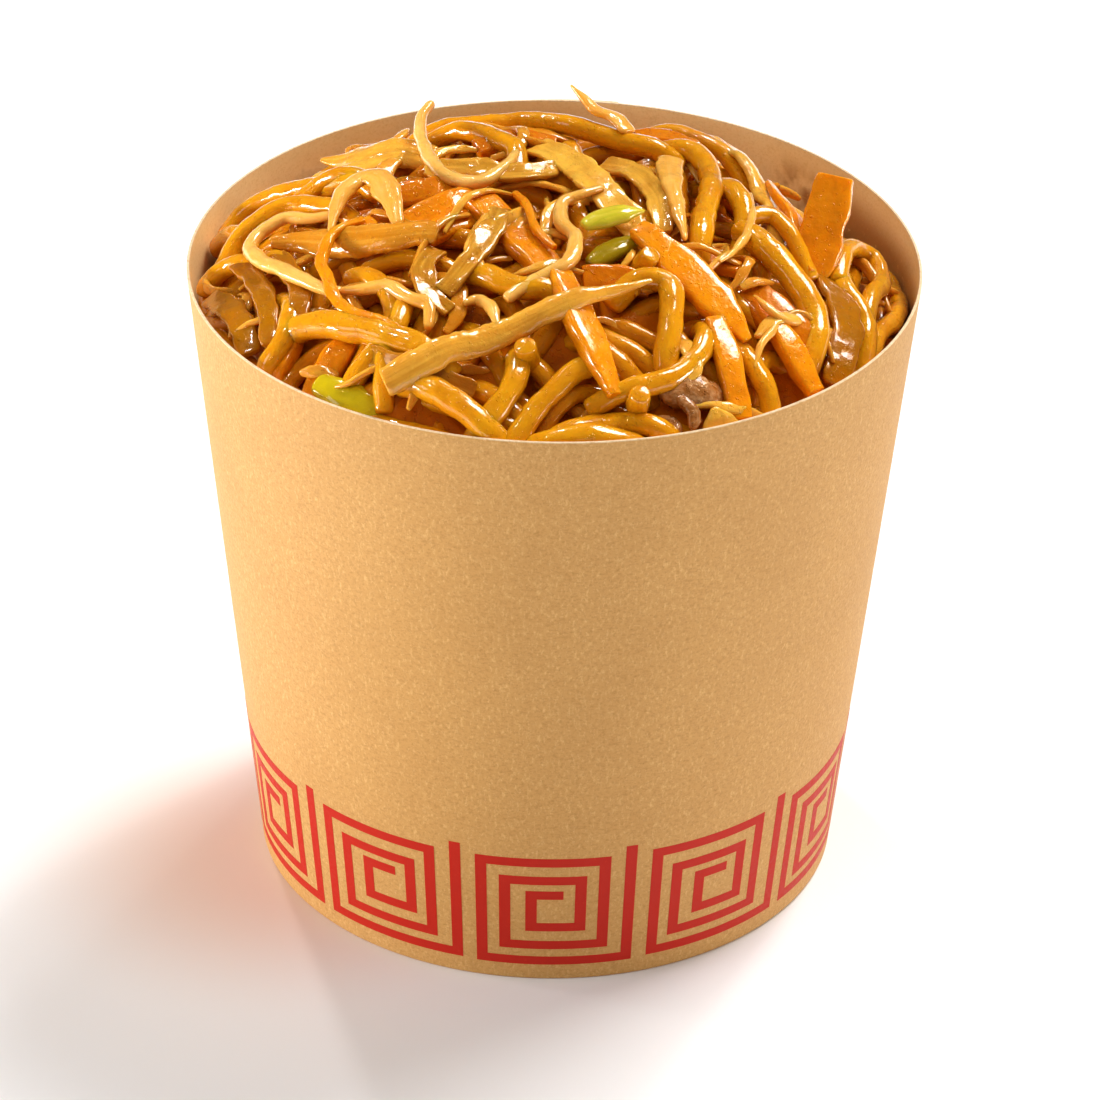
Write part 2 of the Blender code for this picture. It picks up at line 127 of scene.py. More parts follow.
wall_profile = [
    (FOOT_RADIUS - 0.25, 0.0),
    (FOOT_RADIUS + 0.05, 0.35),
    (wall_radius(12), 12.0),
    (wall_radius(30), 30.0),
    (wall_radius(50), 50.0),
    (wall_radius(70), 70.0),
    (wall_radius(88), 88.0),
    (TOP_RADIUS - 0.01, RIM - 0.12),
    (TOP_RADIUS - 0.07, RIM),
    (TOP_RADIUS - BOARD + 0.07, RIM),
    (TOP_RADIUS - BOARD, RIM - 0.12),
    (wall_radius(88) - BOARD, 88.0),
    (wall_radius(60) - BOARD, 60.0),
    (wall_radius(30) - BOARD, 30.0),
    (wall_radius(HEM_HEIGHT) - BOARD, HEM_HEIGHT + 0.15),
    (wall_radius(HEM_HEIGHT) - HEM_THICKNESS + 0.1, HEM_HEIGHT + 0.1),
    (wall_radius(HEM_HEIGHT) - HEM_THICKNESS, HEM_HEIGHT - 0.1),
    (FOOT_RADIUS - HEM_THICKNESS, 0.3),
    (FOOT_RADIUS - HEM_THICKNESS + 0.25, 0.0),
]
first_radius, first_height = wall_profile[0]
bpy.ops.mesh.primitive_circle_add(vertices=WALL_SIDES, radius=first_radius * MM,
                                  fill_type="NOTHING", location=(0, 0, first_height * MM))
wall = bpy.context.object
wall.name = "kraft_wall"
bpy.ops.object.transform_apply(location=True, rotation=True, scale=True)
bpy.ops.object.mode_set(mode="EDIT")
bpy.ops.mesh.select_mode(type="EDGE")
bpy.ops.mesh.select_all(action="SELECT")
for (radius, height), (next_radius, next_height) in zip(wall_profile, wall_profile[1:]):
    bpy.ops.mesh.extrude_edges_move(
        TRANSFORM_OT_translate={"value": (0, 0, (next_height - height) * MM)})
    grow = next_radius / radius
    bpy.ops.transform.resize(value=(grow, grow, 1), center_override=(0, 0, 0))
bpy.ops.mesh.select_all(action="DESELECT")
bpy.ops.mesh.select_non_manifold()
bpy.ops.mesh.bridge_edge_loops()
bend_over_lap(wall)
bpy.ops.object.shade_smooth_by_angle(angle=math.radians(28))


def new_material(name):
    """A material whose Principled shader is returned with its node tree."""
    made = bpy.data.materials.new(name)
    made.use_nodes = True
    return made, made.node_tree, made.node_tree.nodes["Principled BSDF"]


def add_node(tree, kind, settings=None, **inputs):
    """Add a node, set its options and inputs, and link inputs given as sockets.

    Inputs go by name, or by number as i0 and i1.
    """
    node = tree.nodes.new(kind)
    for name, value in (settings or {}).items():
        setattr(node, name, value)
    for name, value in inputs.items():
        key = int(name[1:]) if name[0] == "i" and name[1:].isdigit() else name.replace("_", " ")
        socket = node.inputs[key]
        if isinstance(value, bpy.types.NodeSocket):
            tree.links.new(value, socket)
        else:
            socket.default_value = value
    return node


def noise(tree, where, scale, detail=2.0, roughness=0.5):
    """Noise texture value on given coordinates; scale counts cells in a metre."""
    node = add_node(tree, "ShaderNodeTexNoise", Vector=where, Scale=scale, Detail=detail,
                    Roughness=roughness)
    return node.outputs["Fac"]


def remap(tree, value, low, high, to_low=0.0, to_high=1.0):
    """Stretch a range of a value to another, clamped and eased."""
    node = add_node(tree, "ShaderNodeMapRange", {"interpolation_type": "SMOOTHSTEP"},
                    Value=value, From_Min=low, From_Max=high, To_Min=to_low, To_Max=to_high)
    return node.outputs["Result"]


def maths(tree, operation, a, b=0.0):
    """One arithmetic step."""
    return add_node(tree, "ShaderNodeMath", {"operation": operation}, i0=a, i1=b).outputs[0]


def blend_colour(tree, amount, first, second, how="MIX"):
    """Mix two colours by an amount."""
    node = add_node(tree, "ShaderNodeMix", {"data_type": "RGBA", "blend_type": how})
    for socket, value in ((node.inputs[0], amount), (node.inputs[6], first),
                          (node.inputs[7], second)):
        if isinstance(value, bpy.types.NodeSocket):
            tree.links.new(value, socket)
        else:
            socket.default_value = (*value, 1.0) if isinstance(value, tuple) else value
    return node.outputs[2]


def object_place(tree, stretch=(1, 1, 1)):
    """Object coordinates, stretched along the axes."""
    place = add_node(tree, "ShaderNodeTexCoord").outputs["Object"]
    if stretch == (1, 1, 1):
        return place
    return add_node(tree, "ShaderNodeMapping", Vector=place, Scale=stretch).outputs[0]


def kraft_paper(name, colour, fibre, pale, roughness, mottle):
    """Brown kraft board: fine short fibres over a soft cloudy mottle."""
    material, tree, shader = new_material(name)
    place = object_place(tree)
    level = object_place(tree, (1, 1, 2.0))
    upright = object_place(tree, (1.8, 1.8, 0.9))
    clouds = noise(tree, place, 60, 3)
    speckle = noise(tree, place, 2600, 3, 0.65)
    lying = noise(tree, level, 1250, 4, 0.7)
    standing = noise(tree, upright, 1150, 4, 0.7)
    shade = blend_colour(tree, remap(tree, lying, 0.46, 0.72, 0.0, 0.55), colour, fibre)
    shade = blend_colour(tree, remap(tree, standing, 0.48, 0.72, 0.0, 0.50), shade, pale)
    shade = blend_colour(tree, remap(tree, speckle, 0.50, 0.72, 0.0, 0.55), shade, fibre)
    shade = blend_colour(tree, remap(tree, clouds, 0.35, 0.75, 0.0, mottle), shade, fibre)
    tree.links.new(shade, shader.inputs["Base Color"])
    rough = remap(tree, speckle, 0.3, 0.7, roughness - 0.06, roughness + 0.06)
    tree.links.new(rough, shader.inputs["Roughness"])
    height = maths(tree, "ADD", lying, maths(tree, "MULTIPLY", speckle, 0.6))
    bump = add_node(tree, "ShaderNodeBump", Strength=0.35, Distance=0.00006, Height=height)
    tree.links.new(bump.outputs[0], shader.inputs["Normal"])
    return material, tree, shader


kraft_outside, _, outside_shader = kraft_paper("kraft_outside", KRAFT, KRAFT_FIBRE, KRAFT_PALE,
                                               0.62, 0.16)
outside_shader.inputs["Specular IOR Level"].default_value = 0.35
# Painted light: the inner wall's paper is made paler than the same board outside.
kraft_inside_painted_light, inside_tree, inside_shader = kraft_paper("kraft_inside_painted_light", KRAFT_INSIDE_PAINTED_LIGHT,
                                                       INSIDE_FIBRE_PAINTED_LIGHT, INSIDE_PALE_PAINTED_LIGHT, 0.42, 0.35)
inside_shader.inputs["Coat Weight"].default_value = 0.45
inside_shader.inputs["Coat Roughness"].default_value = 0.22
inside_paper = inside_shader.inputs["Base Color"].links[0].from_socket
inside_place = object_place(inside_tree)
wall_place = add_node(inside_tree, "ShaderNodeSeparateXYZ", Vector=inside_place).outputs
near_food = remap(inside_tree, wall_place["Z"], (RIM - STAIN_TOP) * MM, (RIM - STAIN_FULL) * MM)
spill = remap(inside_tree, wall_place["X"], 0.025, 0.05, 0.0, 0.34)
spill = maths(inside_tree, "ADD", noise(inside_tree, inside_place, 60, 4, 0.65), spill)
stain = remap(inside_tree, spill, 0.60, 0.70, 0.0, 0.9)
fleck = remap(inside_tree, noise(inside_tree, inside_place, 900, 2, 0.6), 0.64, 0.70, 0.0, 0.5)
stain = maths(inside_tree, "MULTIPLY", stain, near_food)
greased = blend_colour(inside_tree, stain, inside_paper, GREASE_STAIN)
greased = blend_colour(inside_tree, maths(inside_tree, "MULTIPLY", fleck, near_food), greased,
                       GREASE_FLECK)
inside_tree.links.new(greased, inside_shader.inputs["Base Color"])
kraft_edge, _, _ = kraft_paper("kraft_cut_edge", CUT_EDGE, KRAFT, CUT_EDGE_PALE, 0.7, 0.1)
for material in (kraft_outside, kraft_inside_painted_light, kraft_edge):
    wall.data.materials.append(material)
for face in wall.data.polygons:
    out = math.hypot(face.center.x, face.center.y) / MM
    if face.center.z / MM > RIM - 0.1:
        face.material_index = 2
    elif out < wall_radius(face.center.z / MM) - 0.3:
        face.material_index = 1
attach(wall, "root")
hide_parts("tub_wall")


# ------------------------------------------------------------------ the printed border
# Eleven square spirals and the upright bars between them, printed in one red ink round
# the foot. Each is one unbroken line as wide as its gaps, a little glossier than the
# paper and only hundredths of a millimetre thick.
UNITS = 11
FIRST_UNIT_LEFT = -12.9
LINE_WIDE = 2.2
LINE_TALL = 1.6
INK_LIFT = 0.035
INK_SINK = 0.015
# The middle of the line, from its bar in to its centre: degrees from the unit's left, as
# drawn for a unit of 33.6, and millimetres up the wall. Its widths go by the same two.
SPIRAL = [
    (29.75, 24.4), (29.75, 3.9), (1.1, 3.9), (1.1, 22.7), (24.5, 22.7), (24.5, 6.8),
    (5.7, 6.8), (5.7, 19.3), (20.1, 19.3), (20.1, 10.1), (10.7, 10.1), (10.7, 16.5),
    (15.8, 16.5),
]
SPIRAL_SCALE = 32.73 / 33.6
INK_STEP = 1.3
INK_UNEVEN = 0.10
INK_RED = (0.49, 0.013, 0.003)
INK_WORN = (0.60, 0.040, 0.018)


def spiral_line(rng):
    """Left and right edges of the printed line, as bearings in degrees and heights."""
    places = [(a + rng.gauss(0, INK_UNEVEN), b + rng.gauss(0, INK_UNEVEN * 0.8))
              for a, b in SPIRAL]
    squared = [places[0]]
    for i in range(1, len(SPIRAL)):
        upright = SPIRAL[i][0] == SPIRAL[i - 1][0]
        last = squared[-1]
        squared.append((last[0], places[i][1]) if upright else (places[i][0], last[1]))
    half = np.array([LINE_WIDE, LINE_TALL]) / 2
    lefts, rights = [], []
    for i, place in enumerate(squared):
        before = np.subtract(place, squared[i - 1]) if i else None
        after = np.subtract(squared[i + 1], place) if i < len(squared) - 1 else None
        corner = np.zeros(2)
        for run in (before, after):
            if run is not None:
                ahead = np.sign(np.round(run, 6))
                corner += np.array([-ahead[1], ahead[0]]) * half
        if before is None or after is None:
            ahead = np.sign(np.round(after if before is None else before, 6))
            reach = ahead * half * (-1 if before is None else 1)
            lefts.append(np.add(place, corner + reach))
            rights.append(np.add(place, reach - corner))
        else:
            lefts.append(np.add(place, corner))
            rights.append(np.add(place, -corner))
    return lefts, rights


def onto_wall(bearing, height, lift):
    """A place on the cone, its bearing taken from the front towards +X."""
    turn = math.radians(bearing)
    out = (wall_radius(height) + lift) * MM
    return (out * math.sin(turn), -out * math.cos(turn), height * MM)


ink_rng = random.Random(5)
ink_verts, ink_faces = [], []
for unit in range(UNITS):
    start = FIRST_UNIT_LEFT + unit * 360 / UNITS
    lefts, rights = spiral_line(ink_rng)
    for i in range(len(lefts) - 1):
        span = math.dist(lefts[i], lefts[i + 1])
        steps = max(1, math.ceil(span / INK_STEP))
        for step in range(steps + 1):
            if i and not step:
                continue
            share = step / steps
            left = np.array(lefts[i]) * (1 - share) + np.array(lefts[i + 1]) * share
            right = np.array(rights[i]) * (1 - share) + np.array(rights[i + 1]) * share
            for side in (left, right):
                for lift in (INK_LIFT, -INK_SINK):
                    ink_verts.append(onto_wall(start + side[0] * SPIRAL_SCALE, side[1], lift))
            base = len(ink_verts) - 4
            if i or step:
                last = base - 4
                ink_faces += [
                    (last, last + 2, base + 2, base), (last + 1, base + 1, base + 3, last + 3),
                    (last, base, base + 1, last + 1), (last + 2, last + 3, base + 3, base + 2)]
            else:
                ink_faces.append((base, base + 1, base + 3, base + 2))
    ink_faces.append((base, base + 2, base + 3, base + 1))
ink_mesh = bpy.data.meshes.new("red_border")
ink_mesh.from_pydata(ink_verts, [], ink_faces)
border = bpy.data.objects.new("red_border", ink_mesh)
bpy.context.scene.collection.objects.link(border)
bpy.context.view_layer.objects.active = border
border.select_set(True)
bend_over_lap(border)
bpy.ops.object.shade_smooth_by_angle(angle=math.radians(25))
border.select_set(False)
ink, ink_tree, ink_shader = new_material("red_ink")
ink_place = object_place(ink_tree)
ink_grain = noise(ink_tree, ink_place, 1300, 3, 0.7)
ink_colour = blend_colour(ink_tree, remap(ink_tree, ink_grain, 0.55, 0.8, 0.0, 0.35),
                          INK_RED, INK_WORN)
ink_tree.links.new(ink_colour, ink_shader.inputs["Base Color"])
ink_tree.links.new(remap(ink_tree, ink_grain, 0.3, 0.7, 0.42, 0.56), ink_shader.inputs["Roughness"])
ink_bump = add_node(ink_tree, "ShaderNodeBump", Strength=0.3, Distance=0.00004, Height=ink_grain)
ink_tree.links.new(ink_bump.outputs[0], ink_shader.inputs["Normal"])
ink_shader.inputs["Specular IOR Level"].default_value = 0.2
border.data.materials.append(ink)
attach(border, "root")


# ------------------------------------------------------------------ the base
# A plain disc of the same board, glued inside the hem and raised clear of the table.
# Its solid has the right shape already, so it only takes the paper's finish.
base_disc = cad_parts["tub_base"]
base_disc.data.materials.clear()
base_disc.data.materials.append(kraft_outside)


# ------------------------------------------------------------------ the mass of noodles
# What lies under the strands that show: a packed mass of noodles soaked in dark sauce,
# seen only in the gaps. It fills the tub down to the base and is domed above the rim.
ROOM = TOP_RADIUS - BOARD
CROWN = 15.6
EDGE_FRONT, EDGE_RIGHT, EDGE_BACK, EDGE_LEFT = -1.5, -10.5, -10.0, -4.0
DOME_POWER, DOME_ROUNDNESS = 2.4, 0.9
CORE_DROP = 8.5
CORE_SIDES = 240
CORE_RINGS = 76
FLOOR_OF_FOOD = HEM_HEIGHT + 1.6
CORE_FOOT_RADIUS = wall_radius(FLOOR_OF_FOOD) - 1.2
CORE_RIM_RADIUS = ROOM - 2.2
CORE_SIDE = 60.0
SAUCE_FOOD = (0.50, 0.11, 0.001)
SAUCE_DARK = (0.40, 0.075, 0.001)


def heap_height(x, y):
    """Height of the finished heap over the foot, at places in plan."""
    reach = np.minimum(np.hypot(x, y) / ROOM, 1.0)
    bearing = np.arctan2(x, -y)
    mean = (EDGE_FRONT + EDGE_RIGHT + EDGE_BACK + EDGE_LEFT) / 4
    edge = (mean + (EDGE_FRONT - EDGE_BACK) / 2 * np.cos(bearing)
            + (EDGE_RIGHT - EDGE_LEFT) / 2 * np.sin(bearing)
            + (EDGE_FRONT + EDGE_BACK - EDGE_RIGHT - EDGE_LEFT) / 4 * np.cos(2 * bearing))
    return RIM + edge + (CROWN - edge) * (1 - reach ** DOME_POWER) ** DOME_ROUNDNESS


def core_height(x, y):
    """Height of the mass below the strands, lumpy with what is buried in it."""
    lumps = 0.5 * np.sin(0.9 * x + 1.7 * np.sin(0.35 * y)) + 0.4 * np.sin(0.8 * y - 0.5 * x)
    return heap_height(x, y) - CORE_DROP + lumps


bpy.ops.mesh.primitive_circle_add(vertices=CORE_SIDES, radius=CORE_FOOT_RADIUS * MM,
                                  fill_type="NGON", location=(0, 0, FLOOR_OF_FOOD * MM))
core = bpy.context.object
core.name = "sauced_mass"
bpy.ops.object.transform_apply(location=True, rotation=True, scale=True)
bpy.ops.object.mode_set(mode="EDIT")
bpy.ops.mesh.select_mode(type="EDGE")
bpy.ops.mesh.select_all(action="DESELECT")
bpy.ops.mesh.select_non_manifold()
bpy.ops.mesh.extrude_edges_move(TRANSFORM_OT_translate={"value": (0, 0, CORE_SIDE * MM)})
for ring in range(CORE_RINGS - 1):
    shrink = (CORE_RINGS - ring - 1) / (CORE_RINGS - ring)
    bpy.ops.mesh.extrude_edges_move(TRANSFORM_OT_translate={"value": (0, 0, 0)})
    bpy.ops.transform.resize(value=(shrink, shrink, 1), center_override=(0, 0, 0))
bpy.ops.mesh.merge(type="CENTER")
bpy.ops.mesh.select_all(action="SELECT")
bpy.ops.mesh.normals_make_consistent(inside=False)
bpy.ops.object.mode_set(mode="OBJECT")
for vert in core.data.vertices:
    if vert.co.z > CORE_SIDE * MM:
        share = min(math.hypot(vert.co.x, vert.co.y) / (CORE_FOOT_RADIUS * MM), 1.0)
        turn = math.atan2(vert.co.y, vert.co.x)
        x = CORE_RIM_RADIUS * share * math.cos(turn)
        y = CORE_RIM_RADIUS * share * math.sin(turn)
        vert.co = Vector((x, y, float(core_height(x, y)))) * MM
bpy.ops.object.shade_smooth_by_angle(angle=math.radians(50))


# The effect that all the food shares: stir-fry sauce, clinging in patches, gathering
# in the gaps between strands, where the colour also darkens with depth under the heap's
# top as painted shade, and standing in fine beads that catch the light.
sauce_coat = bpy.data.node_groups.new("sauce_coat", "ShaderNodeTree")
for label, kind in (("Food", "NodeSocketColor"), ("Sauce", "NodeSocketColor"),
                    ("Depth", "NodeSocketFloat"), ("Patches", "NodeSocketFloat"),
                    ("Beads", "NodeSocketFloat")):
    sauce_coat.interface.new_socket(label, in_out="INPUT", socket_type=kind)
for label, kind in (("Colour", "NodeSocketColor"), ("Roughness", "NodeSocketFloat"),
                    ("Gloss", "NodeSocketFloat"), ("Height", "NodeSocketFloat")):
    sauce_coat.interface.new_socket(label, in_out="OUTPUT", socket_type=kind)
coat_in = sauce_coat.nodes.new("NodeGroupInput").outputs
coat_out = sauce_coat.nodes.new("NodeGroupOutput").inputs
coat_place = object_place(sauce_coat)
patches = noise(sauce_coat, coat_place, 210, 4, 0.6)
beads = noise(sauce_coat, coat_place, 1500, 2, 0.6)
ripples = noise(sauce_coat, coat_place, 520, 3, 0.6)
cling = maths(sauce_coat, "MULTIPLY", remap(sauce_coat, patches, 0.42, 0.72), coat_in["Patches"])
# Sauce and painted shade: the colour darkens the deeper a point lies under the heap's top.
gather_and_shade = remap(sauce_coat, coat_in["Depth"], 0.05, 1.0)
cover = maths(sauce_coat, "MAXIMUM", cling, gather_and_shade)
sauced_and_shaded = blend_colour(sauce_coat, cover, coat_in["Food"], coat_in["Sauce"])
sauce_coat.links.new(sauced_and_shaded, coat_out["Colour"])
wet = remap(sauce_coat, ripples, 0.35, 0.7, 0.10, 0.26)
sauce_coat.links.new(wet, coat_out["Roughness"])
film = noise(sauce_coat, coat_place, 560, 4, 0.65)
sauce_coat.links.new(remap(sauce_coat, film, 0.40, 0.52, 0.3, 1.0), coat_out["Gloss"])
bead_mask = maths(sauce_coat, "MULTIPLY", remap(sauce_coat, beads, 0.60, 0.75), coat_in["Beads"])
relief = maths(sauce_coat, "ADD", maths(sauce_coat, "MULTIPLY", ripples, 0.8), bead_mask)
sauce_coat.links.new(relief, coat_out["Height"])


def sauced_food(name, food, sauce, patches=0.5, beads=0.5, depth=None, colour=None,
                subsurface=0.2, coat=0.6, relief=0.00035):
    """A glossy food material: its own colour under the shared coat of sauce."""
    material, tree, shader = new_material(name)
    group = tree.nodes.new("ShaderNodeGroup")
    group.node_tree = sauce_coat
    group.inputs["Sauce"].default_value = (*sauce, 1)
    group.inputs["Patches"].default_value = patches
    group.inputs["Beads"].default_value = beads
    group.inputs["Food"].default_value = (*food, 1)
    if colour:
        tree.links.new(colour(tree), group.inputs["Food"])
    if depth:
        tree.links.new(depth(tree), group.inputs["Depth"])
    tree.links.new(group.outputs["Colour"], shader.inputs["Base Color"])
    tree.links.new(group.outputs["Roughness"], shader.inputs["Roughness"])
    bump = add_node(tree, "ShaderNodeBump", Strength=0.85, Distance=relief,
                    Height=group.outputs["Height"])
    tree.links.new(bump.outputs[0], shader.inputs["Normal"])
    shader.inputs["Subsurface Weight"].default_value = subsurface
    shader.inputs["Subsurface Radius"].default_value = (1.0, 0.60, 0.30)
    shader.inputs["Subsurface Scale"].default_value = 0.0015
    shader.inputs["Specular IOR Level"].default_value = 0.30
    shader.inputs["Specular Tint"].default_value = (1.0, 0.60, 0.18, 1)
    film = maths(tree, "MULTIPLY", group.outputs["Gloss"], coat)
    tree.links.new(film, shader.inputs["Coat Weight"])
    shader.inputs["Coat Roughness"].default_value = 0.06
    shader.inputs["Coat IOR"].default_value = 1.6
    return material


SAUCE = (0.52, 0.130, 0.001)
core.data.materials.append(sauced_food("sauced_mass", SAUCE_FOOD, SAUCE_DARK, 0.8, 0.6,
                                        subsurface=0.4, coat=0.5))
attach(core, "root")
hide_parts("noodle_heap")


# ------------------------------------------------------------------ laying strands
# Noodles and vegetables are laid one after another, as they fall from the ladle: each
# rests on what is under it, bridges the small gaps, and slides along the wall where it
# meets it. A field of heights keeps what has been laid so far.
CELL = 0.5
FIELD_REACH = 56.0
FIELD = np.arange(-FIELD_REACH, FIELD_REACH + 0.01, CELL)
field_x, field_y = np.meshgrid(FIELD, FIELD, indexing="ij")
laid = np.where(np.hypot(field_x, field_y) < ROOM, core_height(field_x, field_y), -100.0)
PATH_STEP = 1.0


def smooth_path(points, step=PATH_STEP):
    """Even steps along a Catmull-Rom curve through points of two or three numbers."""
    knots = [np.array(point, float) for point in points]
    knots = [2 * knots[0] - knots[1]] + knots + [2 * knots[-1] - knots[-2]]
    fine = []
    for a, b, c, d in zip(knots, knots[1:], knots[2:], knots[3:]):
        for t in np.linspace(0, 1, 16, endpoint=False):
            fine.append(0.5 * (2 * b + (c - a) * t + (2 * a - 5 * b + 4 * c - d) * t ** 2
                               + (3 * b - 3 * c + d - a) * t ** 3))
    fine = np.array(fine + [knots[-2]])
    runs = np.concatenate([[0], np.cumsum(np.linalg.norm(np.diff(fine, axis=0), axis=1))])
    wanted = np.linspace(0, runs[-1], max(4, round(runs[-1] / step) + 1))
    return np.stack([np.interp(wanted, runs, fine[:, axis]) for axis in range(fine.shape[1])], 1)


def touching_cells(plan, radius):
    """Field cells within a radius of each plan point, and how a round strand tops them."""
    reach = int(radius / CELL) + 1
    steps = np.arange(-reach, reach + 1)
    di, dj = (grid.ravel() for grid in np.meshgrid(steps, steps, indexing="ij"))
    at = np.round((plan - FIELD[0]) / CELL).astype(int)
    i = np.clip(at[:, :1] + di, 0, len(FIELD) - 1)
    j = np.clip(at[:, 1:2] + dj, 0, len(FIELD) - 1)
    away = np.hypot(FIELD[i] - plan[:, :1], FIELD[j] - plan[:, 1:2])
    bulge = np.sqrt(np.maximum(radius ** 2 - away ** 2, 0))
    return i, j, bulge, away < radius


def eased(height, reach):
    """A run of heights, evened out over a reach in millimetres either way."""
    span = math.ceil(2.5 * reach)
    weight = np.exp(-0.5 * (np.arange(-span, span + 1) / reach) ** 2)
    padded = np.pad(height, span, mode="edge")
    return np.convolve(padded, weight / weight.sum(), mode="valid")


def rest_on_heap(plan, width, thick, stiffness, sink=0.25):
    """Heights of a strand laid over the field: the stiffer, the wider the gaps it bridges."""
    i, j, bulge, near = touching_cells(plan, 0.5 * width)
    bulge = bulge * thick / width
    top = np.where(near, laid[i, j] + bulge, -100).max(axis=1)
    mean = np.where(near, np.maximum(laid[i, j], 0), 0).sum(axis=1) / near.sum(axis=1) + 0.5 * thick
    flat = min(max(width / thick - 1, 0), 1)
    under = top * (1 - 0.35 * flat) + mean * 0.35 * flat - sink * 0.5 * thick
    height = under.copy()
    for _ in range(stiffness):
        height = np.maximum(under, eased(height, 2.5))
    return eased(height, 1.6)


def press_into_field(path, width, thick):
    """Raise the field by a strand that has been laid."""
    i, j, bulge, near = touching_cells(path[:, :2], 0.5 * width)
    tops = np.where(near, path[:, 2:3] + bulge * thick / width, -100)
    np.maximum.at(laid, (i.ravel(), j.ravel()), tops.ravel())


def keep_inside(path, half_width):
    """Hold a path clear of the wall at each height."""
    limit = wall_radius(np.minimum(path[:, 2], RIM)) - BOARD - half_width - 0.15
    out = np.hypot(path[:, 0], path[:, 1])
    over = (out > limit) & (path[:, 2] < RIM + half_width)
    pull = np.where(over, limit / np.maximum(out, 1e-6), 1.0)
    path[:, 0] *= pull
    path[:, 1] *= pull
    return path


def heap_normals(path):
    """Unit normals of the smooth heap under a path."""
    x, y = path[:, 0], path[:, 1]
    slope_x = (heap_height(x + 1, y) - heap_height(x - 1, y)) / 2
    slope_y = (heap_height(x, y + 1) - heap_height(x, y - 1)) / 2
    normal = np.stack([-slope_x, -slope_y, np.ones_like(x)], 1)
    normal[:, :2] *= np.minimum(1.0, 0.9 / np.maximum(np.hypot(slope_x, slope_y), 1e-6))[:, None]
    return normal / np.linalg.norm(normal, axis=1, keepdims=True)


def along_run(values, count):
    """One value, or several spread evenly along a run, given for each of its points."""
    values = np.atleast_1d(np.asarray(values, float))
    return np.interp(np.linspace(0, 1, count), np.linspace(0, 1, len(values)), values)


